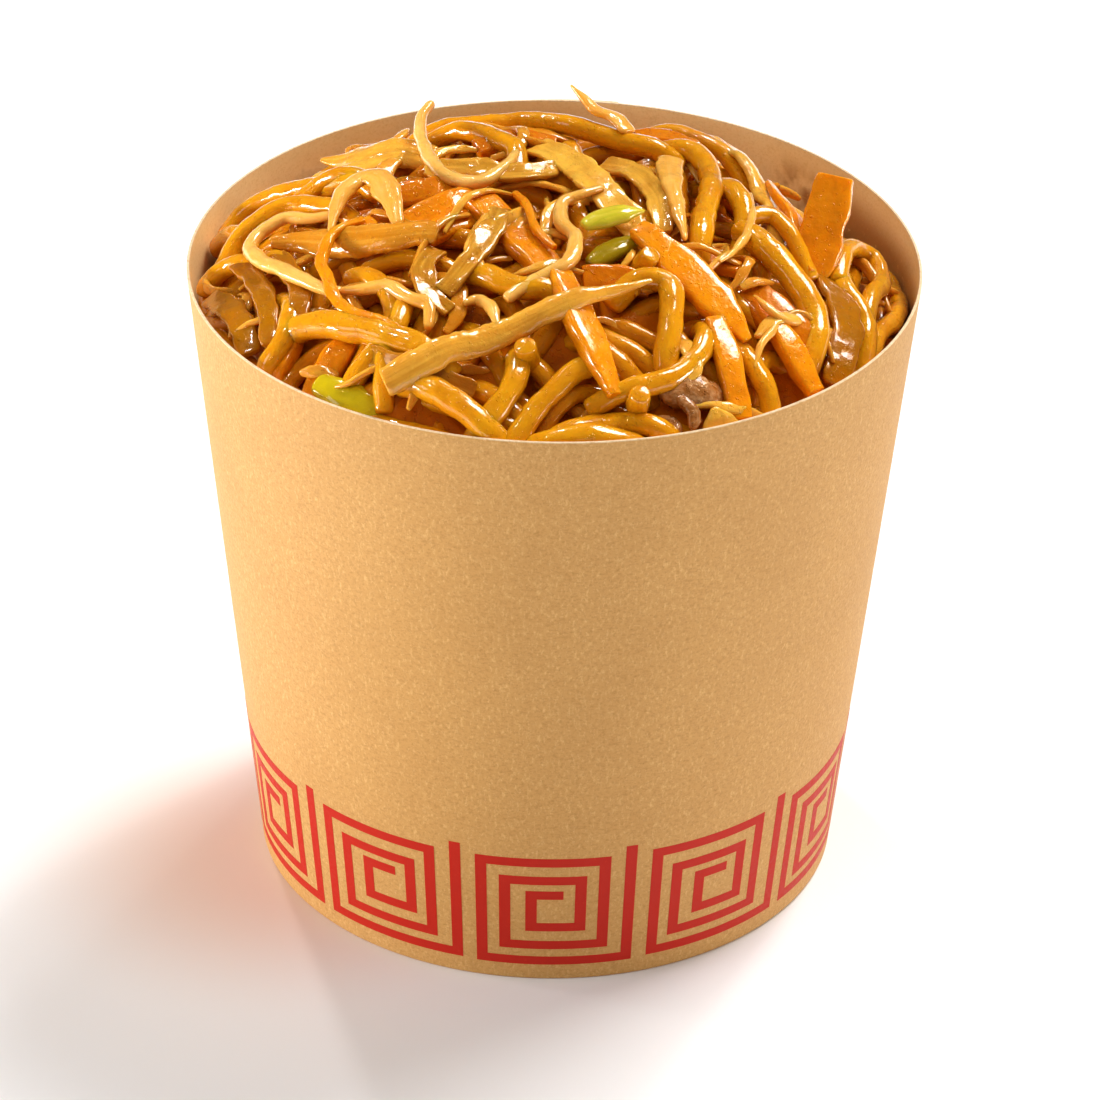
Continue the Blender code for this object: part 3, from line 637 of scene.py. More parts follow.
class Batch:
    """Strands of one kind, gathered to become one mesh.

    Lumps are soft swellings and crinkle the fine ones, both in millimetres.
    """

    def __init__(self, sides, squareness, cap=None, lumps=0.10, crinkle=0.0, step=PATH_STEP):
        angle = 2 * np.pi * (np.arange(sides) + 0.5) / sides
        power = 1 - squareness
        self.across = np.sign(np.cos(angle)) * np.abs(np.cos(angle)) ** power
        self.up = np.sign(np.sin(angle)) * np.abs(np.sin(angle)) ** power
        self.around = angle
        self.sides, self.cap, self.step = sides, cap, step
        self.swellings = [(1, 0.9, lumps), (2, 1.7, lumps / 2), (3, 2.6, lumps / 3),
                          (4, -3.7, crinkle), (6, 4.9, crinkle / 2)]
        self.verts, self.faces, self.grain, self.shade = [], [], [], []
        self.count = 0

    def add(self, path, width, thick, tone=0.5, roll=0.0, ends=(1.0, 1.0), blunt=0.6,
            facing=None, cup=0.0, ripple=0.0, uneven=0.05):
        """One strand; width, thickness and roll may vary along it.

        Ends are narrowed to a share; cup bends the edges up by a share of the width,
        and ripple waves them by millimetres.
        """
        if self.step != PATH_STEP:
            path = smooth_path(path, self.step)
        path, width, thick, roll, grow, along = self.with_ends(path, width, thick, roll,
                                                               ends, blunt)
        phase = 7.0 * tone + 0.13 * path[0, 0]
        width = width * (1 + uneven * np.sin(0.55 * along + phase)
                         + 0.6 * uneven * np.sin(1.3 * along + 2 * phase))
        ahead = np.gradient(path, axis=0)
        ahead /= np.maximum(np.linalg.norm(ahead, axis=1, keepdims=True), 1e-9)
        normal = heap_normals(path) if facing is None else np.tile(facing, (len(path), 1))
        side = np.cross(ahead, normal)
        side /= np.maximum(np.linalg.norm(side, axis=1, keepdims=True), 1e-9)
        up = np.cross(side, ahead)
        turn = np.radians(roll)[:, None]
        side, up = (side * np.cos(turn) + up * np.sin(turn), up * np.cos(turn) - side * np.sin(turn))
        u = self.across[None, :] * (0.5 * width * grow)[:, None]
        v = self.up[None, :] * (0.5 * thick * grow)[:, None]
        lift = (cup * (width * grow)[:, None] * self.across[None, :] ** 2
                + ripple * self.across[None, :] * np.sin(0.5 * along + phase)[:, None]
                + 0.5 * ripple * self.across[None, :] ** 2 * np.sin(0.9 * along)[:, None])
        swell = np.zeros_like(u)
        for waves, pitch, size in self.swellings:
            swell += size * np.sin(pitch * along[:, None] + waves * self.around[None, :]
                                   + (3 + waves) * phase)
        swell = 1 + swell * np.minimum(grow, 1)[:, None] / np.mean(thick)
        u, v = u * swell, v * swell
        rings = (path[:, None, :] + side[:, None, :] * u[..., None]
                 + up[:, None, :] * (v + lift)[..., None])
        rows = len(path)
        ids = self.count + np.arange(rows * self.sides).reshape(rows, self.sides)
        near, far = ids[:-1], ids[1:]
        quads = np.stack([near, np.roll(near, -1, 1), np.roll(far, -1, 1), far], -1)
        tips = np.stack([rings[0].mean(axis=0), rings[-1].mean(axis=0)])
        self.verts += [rings.reshape(-1, 3), tips]
        local = np.stack([np.broadcast_to(along[:, None], u.shape), u, v], -1).reshape(-1, 3)
        self.grain += [local, [[along[0], 0, 0], [along[-1], 0, 0]]]
        share = np.broadcast_to((along / along[-1])[:, None], u.shape).ravel()
        self.shade += [np.stack([np.full(share.shape, tone), np.zeros(share.shape), share], 1),
                       [[tone, 0, 0], [tone, 0, 1]]]
        first, last = self.count + rows * self.sides, self.count + rows * self.sides + 1
        self.faces += [quads.reshape(-1, 4),
                       np.stack([np.full(self.sides, first), np.roll(ids[0], -1), ids[0], ids[0]], 1),
                       np.stack([np.full(self.sides, last), ids[-1], np.roll(ids[-1], -1),
                                 np.roll(ids[-1], -1)], 1)]
        self.count += rows * self.sides + 2

    def with_ends(self, path, width, thick, roll, ends, blunt):
        """Add the close rings that round off each cut end."""
        rows = len(path)
        width, thick, roll = (along_run(value, rows) for value in (width, thick, roll))
        runs = np.concatenate([[0], np.cumsum(np.linalg.norm(np.diff(path, axis=0), axis=1))])
        cap = self.cap or 0.5 * min(thick.mean(), width.mean())
        extra = cap * np.array([0.06, 0.25, 0.6])
        where = np.unique(np.concatenate([runs, extra, runs[-1] - extra]).round(4))
        series = [np.interp(where, runs, path[:, axis]) for axis in range(3)]
        width, thick, roll = (np.interp(where, runs, value) for value in (width, thick, roll))
        to_end = np.minimum(where, where[-1] - where)
        round_off = (1 - (1 - np.minimum(to_end / cap, 1)) ** 2.5) ** 0.4
        grow = blunt + (1 - blunt) * round_off
        taper = np.interp(where, [0, 0.3 * where[-1], 0.7 * where[-1], where[-1]],
                          [ends[0], 1, 1, ends[1]])
        return np.stack(series, 1), width, thick, roll, grow * taper, where

    def finish(self, name, material, crease=80):
        """Make the mesh, its attributes and its place in the frame."""
        verts = np.concatenate([np.asarray(part, float) for part in self.verts])
        shade = np.concatenate([np.asarray(part, float) for part in self.shade])
        grain = np.concatenate([np.asarray(part, float) for part in self.grain])
        # The depth by which sauce and painted shade darken each point.
        shade[:, 1] = sauce_and_shade_depth(verts)
        faces = [quad[:3] if quad[2] == quad[3] else quad
                 for quad in np.concatenate(self.faces).tolist()]
        mesh = bpy.data.meshes.new(name)
        mesh.from_pydata((verts * MM).tolist(), [], faces)
        for label, values in (("grain", grain), ("shade", shade)):
            mesh.attributes.new(label, "FLOAT_VECTOR", "POINT").data.foreach_set(
                "vector", values.ravel())
        mesh.materials.append(material)
        piece = bpy.data.objects.new(name, mesh)
        bpy.context.scene.collection.objects.link(piece)
        bpy.context.view_layer.objects.active = piece
        piece.select_set(True)
        bpy.ops.object.shade_smooth_by_angle(angle=math.radians(crease))
        piece.select_set(False)
        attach(piece, "root")
        return piece


TUCK_LENGTH = 7.0
# Depths where the sauce and painted shade begin and where they are full.
DEPTH_BARE_AND_UNSHADED = 0.6
DEPTH_SAUCED_AND_SHADED = 7.5


def sauce_and_shade_depth(places):
    """How deep points lie under the heap's finished top, from bare to full of sauce and painted
    shade.
    """
    depth = heap_height(places[:, 0], places[:, 1]) - places[:, 2]
    return np.clip((depth - DEPTH_BARE_AND_UNSHADED) / (DEPTH_SAUCED_AND_SHADED - DEPTH_BARE_AND_UNSHADED), 0, 1)


def lay(kind, width, thick, rises, points, stiffness=8, sink=0.3, tucks=(0, 0), most=1.2,
        **looks):
    """Lay one strand over the heap, raised over it at its start, middle and end.

    Tucks are how far each end dives between its neighbours, and most is how far the
    strand may stand over the heap's smooth top.
    """
    plan = smooth_path(points)
    wide, deep = float(np.max(width)), float(np.mean(thick))
    height = rest_on_heap(plan, wide, deep, stiffness, sink)
    cap = heap_height(plan[:, 0], plan[:, 1]) - 0.5 * deep + most
    height = eased(np.minimum(height, cap), 1.2) + along_run(rises, len(plan))
    run = np.arange(len(plan)) * PATH_STEP
    for depth, away in zip(tucks, (run, run[::-1])):
        height -= depth * np.clip(1 - away / TUCK_LENGTH, 0, 1) ** 1.6
    path = keep_inside(np.column_stack([plan, height]), 0.5 * wide)
    press_into_field(path, 0.9 * wide, deep)
    kind.add(path, width, thick, **looks)


def place(kind, width, thick, points, **looks):
    """Set one strand through given places, their heights taken over the rim."""
    path = smooth_path(points)
    path[:, 2] += RIM
    kind.add(path, width, thick, **looks)


def read_attribute(tree, name):
    """A point attribute's vector, whole and split in three."""
    vector = add_node(tree, "ShaderNodeAttribute", {"attribute_name": name}).outputs["Vector"]
    return vector, add_node(tree, "ShaderNodeSeparateXYZ", Vector=vector).outputs


def heap_depth(tree):
    """How deep in the heap a point lies, from none to full."""
    return read_attribute(tree, "shade")[1]["Y"]


# How far the painted shade darkens each strand's underside.
UNDERSIDE_PAINTED_SHADE = 0.55


def streaked(pale, stain_and_shade, spread=(0.4, 1.6), stretch=(0.15, 1.6, 1.6), streaks=0.5):
    """A colour that runs from pale to dark, piece by piece, and as painted shade towards its
    underside.
    """
    def build(tree):
        _, shade = read_attribute(tree, "shade")
        grain, across = read_attribute(tree, "grain")
        along = add_node(tree, "ShaderNodeMapping", Vector=grain, Scale=stretch).outputs[0]
        streak = noise(tree, along, 1.0, 3, 0.6)
        tone = maths(tree, "ADD", shade["X"], maths(tree, "MULTIPLY", streak, streaks))
        # Painted shade: each strand darkens towards its underside.
        tone = maths(tree, "ADD", tone, remap(tree, across["Z"], -1.3, 0.9, UNDERSIDE_PAINTED_SHADE, 0.0))
        return blend_colour(tree, remap(tree, tone, *spread), pale, stain_and_shade)
    return build


# ------------------------------------------------------------------ the buried noodles
# Round wheat noodles about 3.4 mm thick, cooked soft and dark with sauce, laid by a
# rule: always where the heap is lowest, and cut where they would climb over it.
NOODLE = 3.3
FILL_BELOW_TOP = 4.0
FILL_OVER = 1.4
FILL_LENGTH = (30.0, 70.0)
FILL_SHORTEST = 9
FILL_TUCK = 3.6
FILL_MOST = 260
NOODLE_PALE = (0.78, 0.32, 0.005)
NOODLE_STAINED_AND_SHADED = (0.50, 0.135, 0.001)
buried = Batch(sides=10, squareness=0.12)
fill_rng = random.Random(20)
barred = np.zeros_like(laid)


def wander(start, heading, length, bend, rng):
    """A run in plan from a start: its bend drifts, and the wall turns it."""
    x, y = start
    run = []
    for _ in range(int(length)):
        bend += rng.gauss(0, 0.012) - 0.04 * bend
        heading += bend
        x += math.cos(heading) * PATH_STEP
        y += math.sin(heading) * PATH_STEP
        out = math.hypot(x, y)
        most = ROOM - 2.6
        if out > most:
            new_x, new_y = x * most / out, y * most / out
            last = run[-1] if run else start
            heading = math.atan2(new_y - last[1], new_x - last[0])
            x, y = new_x, new_y
        run.append((x, y))
    return run


fill_aim = heap_height(field_x, field_y) - FILL_BELOW_TOP
fill_inside = np.hypot(field_x, field_y) < ROOM - 3
fill_count = 0
for _ in range(FILL_MOST * 3):
    short = np.where(fill_inside, fill_aim - laid - barred, -100)
    worst = np.argsort(short, axis=None)[-60:]
    pick = worst[fill_rng.randrange(len(worst))]
    x, y = field_x.flat[pick], field_y.flat[pick]
    if short.flat[pick] < 0.3 or fill_count == FILL_MOST:
        break
    heading = 0.9 * math.sin(0.06 * x + 1.0) + 1.1 * math.cos(0.05 * y - 0.4)
    heading += fill_rng.gauss(0, 0.9)
    length = fill_rng.uniform(*FILL_LENGTH)
    back = fill_rng.uniform(0.3, 0.7) * length
    bend = fill_rng.gauss(0, 0.05)
    before = wander((x, y), heading + math.pi, back, -bend, fill_rng)[::-1]
    after = wander((x, y), heading, length - back, bend, fill_rng)
    plan = np.array(before + [(x, y)] + after)
    for _ in range(2):
        plan[1:-1] = (plan[:-2] + 2 * plan[1:-1] + plan[2:]) / 4
    thick = NOODLE * fill_rng.uniform(0.86, 1.08)
    height = rest_on_heap(plan, thick, thick, 4)
    limit = heap_height(plan[:, 0], plan[:, 1]) - FILL_BELOW_TOP + FILL_OVER
    fits = height < limit
    low, high = len(before), len(before)
    while low > 0 and fits[low - 1]:
        low -= 1
    while high < len(plan) - 1 and fits[high + 1]:
        high += 1
    if high - low < FILL_SHORTEST:
        spot = np.hypot(field_x - x, field_y - y) < 1.6
        barred[spot] += 1.5
        continue
    path = np.column_stack([plan, height])[low:high + 1]
    tuck = np.minimum(np.arange(len(path)), np.arange(len(path))[::-1])
    path[:, 2] -= FILL_TUCK * np.clip(1 - tuck / TUCK_LENGTH, 0, 1) ** 2
    path = keep_inside(path, 0.5 * thick)
    press_into_field(path, thick, thick)
    buried.add(path, thick * fill_rng.uniform(1.0, 1.12), thick * 0.94,
               tone=fill_rng.uniform(0.2, 1.0), roll=fill_rng.uniform(-40, 40))
    fill_count += 1
noodle_colour = streaked(NOODLE_PALE, NOODLE_STAINED_AND_SHADED)
noodle_material = sauced_food("noodle", NOODLE_PALE, SAUCE, 0.45, 0.5, heap_depth,
                              noodle_colour, subsurface=0.4, coat=1.0)
buried_noodles = buried.finish("noodles_buried", noodle_material)
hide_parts("noodle_heap")


# ------------------------------------------------------------------ carrots below
# Carrot cut on a slicer into batons and flat slips, a few millimetres across, with
# sharp cut edges; these lie low in the heap and are stained dark orange.
CARROT_BRIGHT = (0.95, 0.31, 0.003)
CARROT_DARK = (0.60, 0.15, 0.001)
CARROT_SAUCE = (0.36, 0.06, 0.001)
carrots_low = Batch(sides=20, squareness=0.60, cap=0.35, lumps=0.08)
for width, thick, roll, tone, rises, points in [
    (4.2, 2.4, -15, 0.3, (-0.5, 0, 0), [(-36, -42), (-33, -37), (-29, -32)]),
    (4.4, 2.2, 10, 0.7, (-1, 0, 0), [(-42, -35), (-39, -31), (-37, -26)]),
    (6.0, 2.6, -20, 0.9, (0, 0, -1), [(28, -20), (33, -25), (38, -29)]),
    (3.8, 2.4, -10, 0.1, (0, 0, 0), [(32, -27), (35, -31), (38, -35)]),
    (4.6, 2.4, -25, 0.75, (0, 0, 0), [(-24, -4), (-18, -3), (-12, 0)]),
    (5.0, 2.2, -20, 0.5, (0, 1, 0), [(-22, -13), (-16, -9), (-9, -5)]),
    (3.8, 2.2, -25, 0.4, (0, 0, 0), [(-19, -17), (-14, -13), (-9, -10)]),
    (5.8, 2.6, 12, 0.35, (0, 0, 0), [(-12, -8), (-6, -16), (-1, -24), (1, -29)]),
    (4.4, 2.0, -25, 0.8, (0, 0, 0), [(4, -26), (9, -25), (14, -26)]),
    (3.4, 2.0, -20, 0.7, (0, 0, 0), [(12, 20), (16, 21), (21, 19)]),
    (4.0, 2.0, -20, 0.8, (0, 0, 0), [(-12, 10), (-6, 13), (0, 13)]),
    (3.4, 2.2, 0, 0.9, (0, 0, 0), [(30, 14), (34, 9), (37, 3)]),
    (3.6, 2.2, 0, 0.9, (0, 0, 0), [(16, -17), (21, -16), (27, -18)]),
    (2.8, 2.6, 0, 0.1, (0.8, 0.8, 0.8), [(-28, -9), (-27, -11), (-27, -13)]),
]:
    lay(carrots_low, width, thick, rises, points, roll=roll, tone=tone, blunt=0.9,
        ends=(0.85, 0.75))
carrot_colour = streaked(CARROT_BRIGHT, CARROT_DARK, (0.3, 1.4), (0.3, 1.2, 1.2), 0.6)
carrot_material = sauced_food("carrot", CARROT_BRIGHT, CARROT_SAUCE, 0.35, 0.6, heap_depth,
                              carrot_colour, subsurface=0.55, coat=1.0)
low_carrot_piece = carrots_low.finish("carrots_below", carrot_material, 45)
for node in ("carrot_baton_left", "carrot_slice_rim", "carrot_slab_top"):
    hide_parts(node)


# ------------------------------------------------------------------ mushroom and pepper
# A sliced mushroom and its cut stalks, browned, at the front right. The shoulder of a
# green pepper strip shows at the front left, and an olive one lies in the middle.
MUSHROOM_PALE = (0.80, 0.46, 0.20)
MUSHROOM_BROWN = (0.30, 0.10, 0.02)
mushrooms = Batch(sides=16, squareness=0.2, lumps=0.35)
for width, thick, rises, points in [
    (5.2, 3.0, (-0.4, 0, -0.6), [(15, -42), (18, -43), (21, -43), (24, -41)]),
    (2.2, 1.8, (0, 0.4, 0), [(14, -46), (17, -47), (18, -49)]),
    (2.0, 1.6, (0, 0.4, 0), [(18, -45), (20, -47), (20, -49)]),
]:
    lay(mushrooms, width, thick, rises, points, tone=0.4, blunt=0.5, ends=(0.7, 0.6))
mushroom_colour = streaked(MUSHROOM_PALE, MUSHROOM_BROWN, (0.4, 1.0), (0.8, 1.0, 1.0), 0.9)
mushroom_material = sauced_food("mushroom", MUSHROOM_PALE, SAUCE, 0.3, 1.0, heap_depth,
                                mushroom_colour, subsurface=0.3, coat=0.7, relief=0.0008)
mushroom_piece = mushrooms.finish("mushroom", mushroom_material)
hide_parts("mushroom")

PEPPER_GREEN = (0.60, 0.43, 0.006)
PEPPER_OLIVE = (0.32, 0.21, 0.003)
PEPPER_SAUCE = (0.15, 0.09, 0.005)
peppers = Batch(sides=16, squareness=0.25, lumps=0.04)
for width, thick, tone, rises, points in [
    (5.4, 3.2, 0.2, (-0.8, -0.4, -1.0), [(-34, -39), (-31, -42), (-27, -45), (-23, -47)]),
    (3.6, 2.2, 0.9, (0, 0, 0), [(5, -22), (8, -19), (12, -16)]),
]:
    lay(peppers, width, thick, rises, points, tone=tone, blunt=0.45, ends=(0.6, 0.6))
pepper_colour = streaked(PEPPER_GREEN, PEPPER_OLIVE, (0.4, 1.2), (0.2, 1.0, 1.0), 0.5)
pepper_material = sauced_food("green_pepper", PEPPER_GREEN, PEPPER_SAUCE, 0.2, 0.3, heap_depth,
                              pepper_colour, subsurface=0.2, coat=0.8, relief=0.00015)
pepper_piece = peppers.finish("green_pepper", pepper_material)
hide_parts("green_pepper")


# ------------------------------------------------------------------ fine shreds
# Small torn bits of cabbage, onion and sprout that come loose in the wok and lie all
# through the noodles, thin, amber and curled.
SHRED_PALE = (0.90, 0.43, 0.045)
SHRED_AMBER = (0.62, 0.20, 0.004)
BITS = 95
bits = Batch(sides=12, squareness=0.2, lumps=0.12, crinkle=0.03, step=0.6)
bit_rng = random.Random(31)
for _ in range(BITS):
    reach = (ROOM - 5) * math.sqrt(bit_rng.random())
    turn = bit_rng.uniform(0, 2 * math.pi)
    x, y = reach * math.sin(turn), -reach * math.cos(turn)
    run = np.array(wander((x, y), bit_rng.uniform(0, 2 * math.pi), bit_rng.uniform(7, 20),
                          bit_rng.gauss(0, 0.16), bit_rng))
    wide = bit_rng.choice((1.1, 1.4, 1.8, 2.4))
    lay(bits, wide, min(0.7 * wide, 1.2), (0.2, bit_rng.uniform(0, 1.2), 0.2), run[::3],
        tone=bit_rng.random(), roll=(bit_rng.uniform(-70, 70), bit_rng.uniform(-70, 70)),
        ends=(0.7, 0.6), blunt=0.7, cup=0.08, uneven=0.15, tucks=(1.2, 1.2))
bit_material = sauced_food("shreds", SHRED_PALE, SAUCE, 0.4, 0.5, heap_depth,
                           streaked(SHRED_PALE, SHRED_AMBER), subsurface=0.4, coat=1.0)
bits.finish("vegetable_shreds", bit_material)


# ------------------------------------------------------------------ the noodles on top
# The same noodles, laid one by one over the rest: long runs over the back, loops
# against the right-hand wall, and a thick tangle of them down the front.
upper = Batch(sides=16, squareness=0.12, crinkle=0.008, step=0.7)
top_rng = random.Random(8)
for thick, rises, points in [
    (3.6, (0, 0, -2), [(43, -3), (43, -9), (45, -12), (46, -16), (45, -24)]),
    (2.8, (-1, 0, -2), [(47, 16), (51, 10), (52, 4), (51, -5), (48, -13), (46, -21)]),
    (3.0, (0, 0, 0), [(-51, 14), (-48, 17), (-43, 16), (-36, 11), (-30, 5), (-26, 1)]),
    (2.8, (0, 0, 0), [(-52, 13), (-48, 7), (-44, 3), (-38, 1)]),
    (2.9, (0, 0.5, 0), [(-50, -2), (-46, 3), (-40, 4), (-34, 0), (-29, -6)]),
    (2.9, (0, 0, 0), [(-53, -4), (-49, -4), (-45, -7), (-41, -9), (-38, -14)]),
    (2.6, (0, 0.3, 0), [(-39, 10), (-35, 9), (-31, 7), (-26, 4)]),
    (3.4, (0, 0, 0), [(-13, -54), (-9, -50), (-6, -46), (-5, -42), (-5, -37)]),
    (3.1, (0, 0, 0), [(-6, -53), (-3, -49), (0, -46), (3, -43), (7, -40)]),
    (3.2, (0, 0, 0), [(-3, -54), (3, -50), (9, -48), (15, -49), (20, -51)]),
    (3.1, (0, 0, 0), [(5, -46), (11, -45), (16, -43), (20, -39), (22, -34), (21, -29)]),
    (3.5, (0, 1, 0), [(8, -30), (12, -27), (16, -27), (17, -31), (16, -40)]),
    (3.4, (0, 0, 0), [(-14, -23), (-10, -27), (-5, -30), (0, -30), (4, -32)]),
    (3.1, (0, 0, 0), [(-20, 21), (-14, 18), (-9, 12), (-6, 7), (-6, 1)]),
    (3.4, (0, 0.8, 0), [(14, 17), (21, 13), (23, 6), (23, 0), (22, -7), (21, -18)]),
    (3.2, (0, 1, 0), [(-22, 25), (-16, 24), (-10, 22), (-3, 20), (4, 17), (10, 14), (19, 12)]),
    (2.8, (0, 0.5, 0), [(12, 27), (17, 26), (22, 23), (26, 19), (29, 13)]),
    (3.1, (0, 1, 0), [(24, 7), (27, 0), (28, -5), (27, -11)]),
    (3.0, (0, 0, 0), [(-30, -20), (-26, -25), (-23, -31), (-25, -37), (-30, -42)]),
    (2.8, (0, 0, 0), [(-21, -27), (-22, -33), (-24, -39), (-24, -46)]),
    (3.2, (0, 0, 0), [(-40, -18), (-38, -24), (-39, -30), (-43, -33)]),
    (3.1, (-3, -3, -3), [(-30, -43), (-24, -47), (-17, -50), (-11, -53)]),
    (3.2, (-1, 0, -1), [(-6, -54), (0, -53), (6, -52), (12, -52), (17, -51)]),
    (3.0, (-2, -1, -2), [(28, -45), (33, -42), (38, -36), (42, -31)]),
    (3.0, (0, 0, 0), [(24, -30), (28, -34), (31, -39), (32, -44)]),
]:
    lay(upper, thick * 1.06, thick, rises, points, tone=top_rng.uniform(0.0, 0.45),
        roll=top_rng.uniform(-30, 30), tucks=(2.4, 2.4))


# ------------------------------------------------------------------ cabbage
# White cabbage torn into strips and cooked until it is thin, brown and see-through,
# its edges waved and its ribs showing as paler lines. One piece stands at the front rim.
CABBAGE_PALE = (0.94, 0.49, 0.055)
CABBAGE_BROWN = (0.40, 0.135, 0.001)
cabbages = Batch(sides=22, squareness=0.35, lumps=0.07, crinkle=0.03, step=0.5)
for width, thick, tone, roll, cup, ripple, rises, points in [
    (4.8, 1.5, 0.1, -15, 0.12, 0.2, (0.5, 1.2, 0), [(-3, 9), (2, 3), (6, -4), (10, -11), (12, -15)]),
    (4.6, 1.6, 0.3, 20, -0.12, 0.3, (0, 0.6, 0), [(21, 30), (27, 21), (31, 10), (33, 0), (33, -6)]),
    (5.2, 1.5, 1.2, -12, 0.05, 0.2, (0, 0.2, -1), [(40, -6), (42, -13), (43, -20), (41, -30)]),
    (3.6, 1.6, 0.7, 10, 0.14, 0.3, (0, 0.6, 0), [(-17, -20), (-19, -25), (-18, -30), (-15, -33)]),
    (4.2, 1.5, 1.5, 10, 0.05, 0.2, (0, 0, -1), [(-51, -9), (-48, -15), (-46, -21), (-44, -28)]),
    (3.4, 1.4, 1.1, 15, 0.06, 0.2, (0, 0.5, 0), [(-47, -7), (-44, -14), (-42, -21), (-41, -30)]),
    (3.2, 1.4, 1.5, 20, 0.06, 0.2, (0, 0, 0), [(-41, -9), (-39, -15), (-37, -22), (-37, -29)]),
    (3.6, 1.4, 0.8, -20, 0.10, 0.3, (0, 0, 0), [(-27, -38), (-22, -42), (-16, -44), (-11, -45)]),
    (3.6, 1.6, 0.5, -20, 0.14, 0.3, (0, 0.5, 0), [(-19, 3), (-12, 0), (-5, -1), (0, 2)]),
    (3.8, 1.5, 0.4, -20, 0.14, 0.3, (0, 0.4, 0), [(7, 9), (12, 2), (15, -5), (16, -13)]),
    (3.6, 1.5, 0.2, -25, -0.08, 0.2, (0, 0.4, 0), [(-37, 19), (-31, 17), (-25, 15), (-18, 13)]),
    (3.6, 1.6, 0.6, 10, 0.12, 0.3, (0, 0.3, 0), [(-8, -12), (-9, -18), (-12, -25), (-16, -30)]),
]:
    lay(cabbages, width, thick, rises, points, tone=tone, cup=cup, ripple=ripple, uneven=0.07,
        roll=roll, ends=(0.85, 0.75), blunt=0.75, tucks=(1.0, 1.0))
place(cabbages, (7.2, 6.8, 5.0, 1.8), 1.5,
      [(24, -47.2, -4), (23.9, -47, -2.2), (23.6, -46.8, -0.5), (23, -46.6, 1.4)],
      tone=0.0, facing=(0.35, -0.8, 0.4), ends=(1.0, 0.6), blunt=0.6)
cabbage_colour = streaked(CABBAGE_PALE, CABBAGE_BROWN, (0.5, 1.7), (0.12, 1.5, 0.5), 1.1)
cabbage_material = sauced_food("cabbage", CABBAGE_PALE, SAUCE, 0.35, 0.4, heap_depth,
                               cabbage_colour, subsurface=0.35, coat=1.0)
cabbage_piece = cabbages.finish("cabbage", cabbage_material)
for node in ("cabbage_top", "cabbage_back", "cabbage_rim"):
    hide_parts(node)


# ------------------------------------------------------------------ carrots above
# The brighter cuts on top: a stout baton down the front, a long pointed slip and a
# short baton to its right, a thread by the wall, and a wedge on end at the right.
carrots_top = Batch(sides=20, squareness=0.60, cap=0.35, lumps=0.08)
for width, thick, roll, tone, ends, rises, points in [
    ((4.4, 4.8, 4.8, 4.2), 2.8, 22, 0.15, (0.8, 0.5), (0, 0.2, 0),
     [(0, -26), (3, -34), (6, -41), (9, -47)]),
    ((4.8, 5.6, 6.2, 5.0), 2.6, -14, 0.1, (0.7, 0.3), (0.5, 1.0, 0.4),
     [(12, -16), (17, -21), (22, -26), (28, -33)]),
    (3.8, 2.4, -8, 0.2, (0.8, 0.9), (0, 0.3, 0), [(23, -31), (25, -37), (27, -45)]),
    (1.7, 1.4, 0, 0.2, (0.6, 0.6), (0, 0.5, 0), [(32, 11), (33, 6), (35, 1), (36, -5), (38, -10)]),
]:
    lay(carrots_top, width, thick, rises, points, roll=roll, tone=tone, blunt=0.9, ends=ends)
WEDGE_FOOT = (37.6, -8.6, 0.0)
WEDGE_TOP = (41.6, 1.4, 14.2)
wedge_run = [tuple(np.array(WEDGE_FOOT) * (1 - t) + np.array(WEDGE_TOP) * t)
             for t in (0, 0.35, 0.7, 1)]
wedge_ahead = np.subtract(WEDGE_TOP, WEDGE_FOOT)
place(carrots_top, (3.0, 6.2, 7.0, 6.6, 5.2), 2.6, wedge_run, blunt=0.94, tone=0.05,
      facing=np.cross((1, -0.15, 0), wedge_ahead / np.linalg.norm(wedge_ahead)))
top_carrot_piece = carrots_top.finish("carrots_above", carrot_material, 45)
for node in ("carrot_baton_front", "carrot_slice_right", "carrot_baton_right", "carrot_wedge"):
    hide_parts(node)


# ------------------------------------------------------------------ the last noodles
# The few noodles that lie over the vegetables, and three cut ends that stand up between
# them, finished with those below as one piece.
for thick, rises, points in [
    (2.8, (0, 1.2, 0), [(42, -8), (43, -2), (45, 4), (48, 5), (49, -1), (47, -8), (46, -14)]),
    (2.5, (0, 0, -1), [(28, -4), (32, -2), (35, -5), (38, -10)]),
    (3.8, (0, 1, 0), [(27, -7), (31, -12), (35, -17), (38, -22), (38, -27), (36, -31)]),
    (3.9, (0, 0.5, 0), [(-39, -28), (-33, -31), (-27, -35), (-20, -39), (-14, -43)]),
    (3.7, (0, 0, 0), [(-22, -43), (-17, -46), (-13, -49), (-9, -52), (-7, -55)]),
]:
    lay(upper, thick * 1.06, thick, rises, points, tone=top_rng.uniform(0.0, 0.3),
        roll=top_rng.uniform(-30, 30), tucks=(1.6, 2.2), most=1.8)
for low, high in [((-3.5, -40, 4.4), (-4, -42, 8.6)), ((12, -46, 0.5), (12.5, -48, 4.4)),
                  ((12, -21, 9.0), (14, -22.5, 13.4))]:
    place(upper, 3.4, 3.2, [low, high], tone=0.1, facing=(0, -1, 0.3), blunt=0.75)
upper.finish("noodles_on_top", noodle_material)


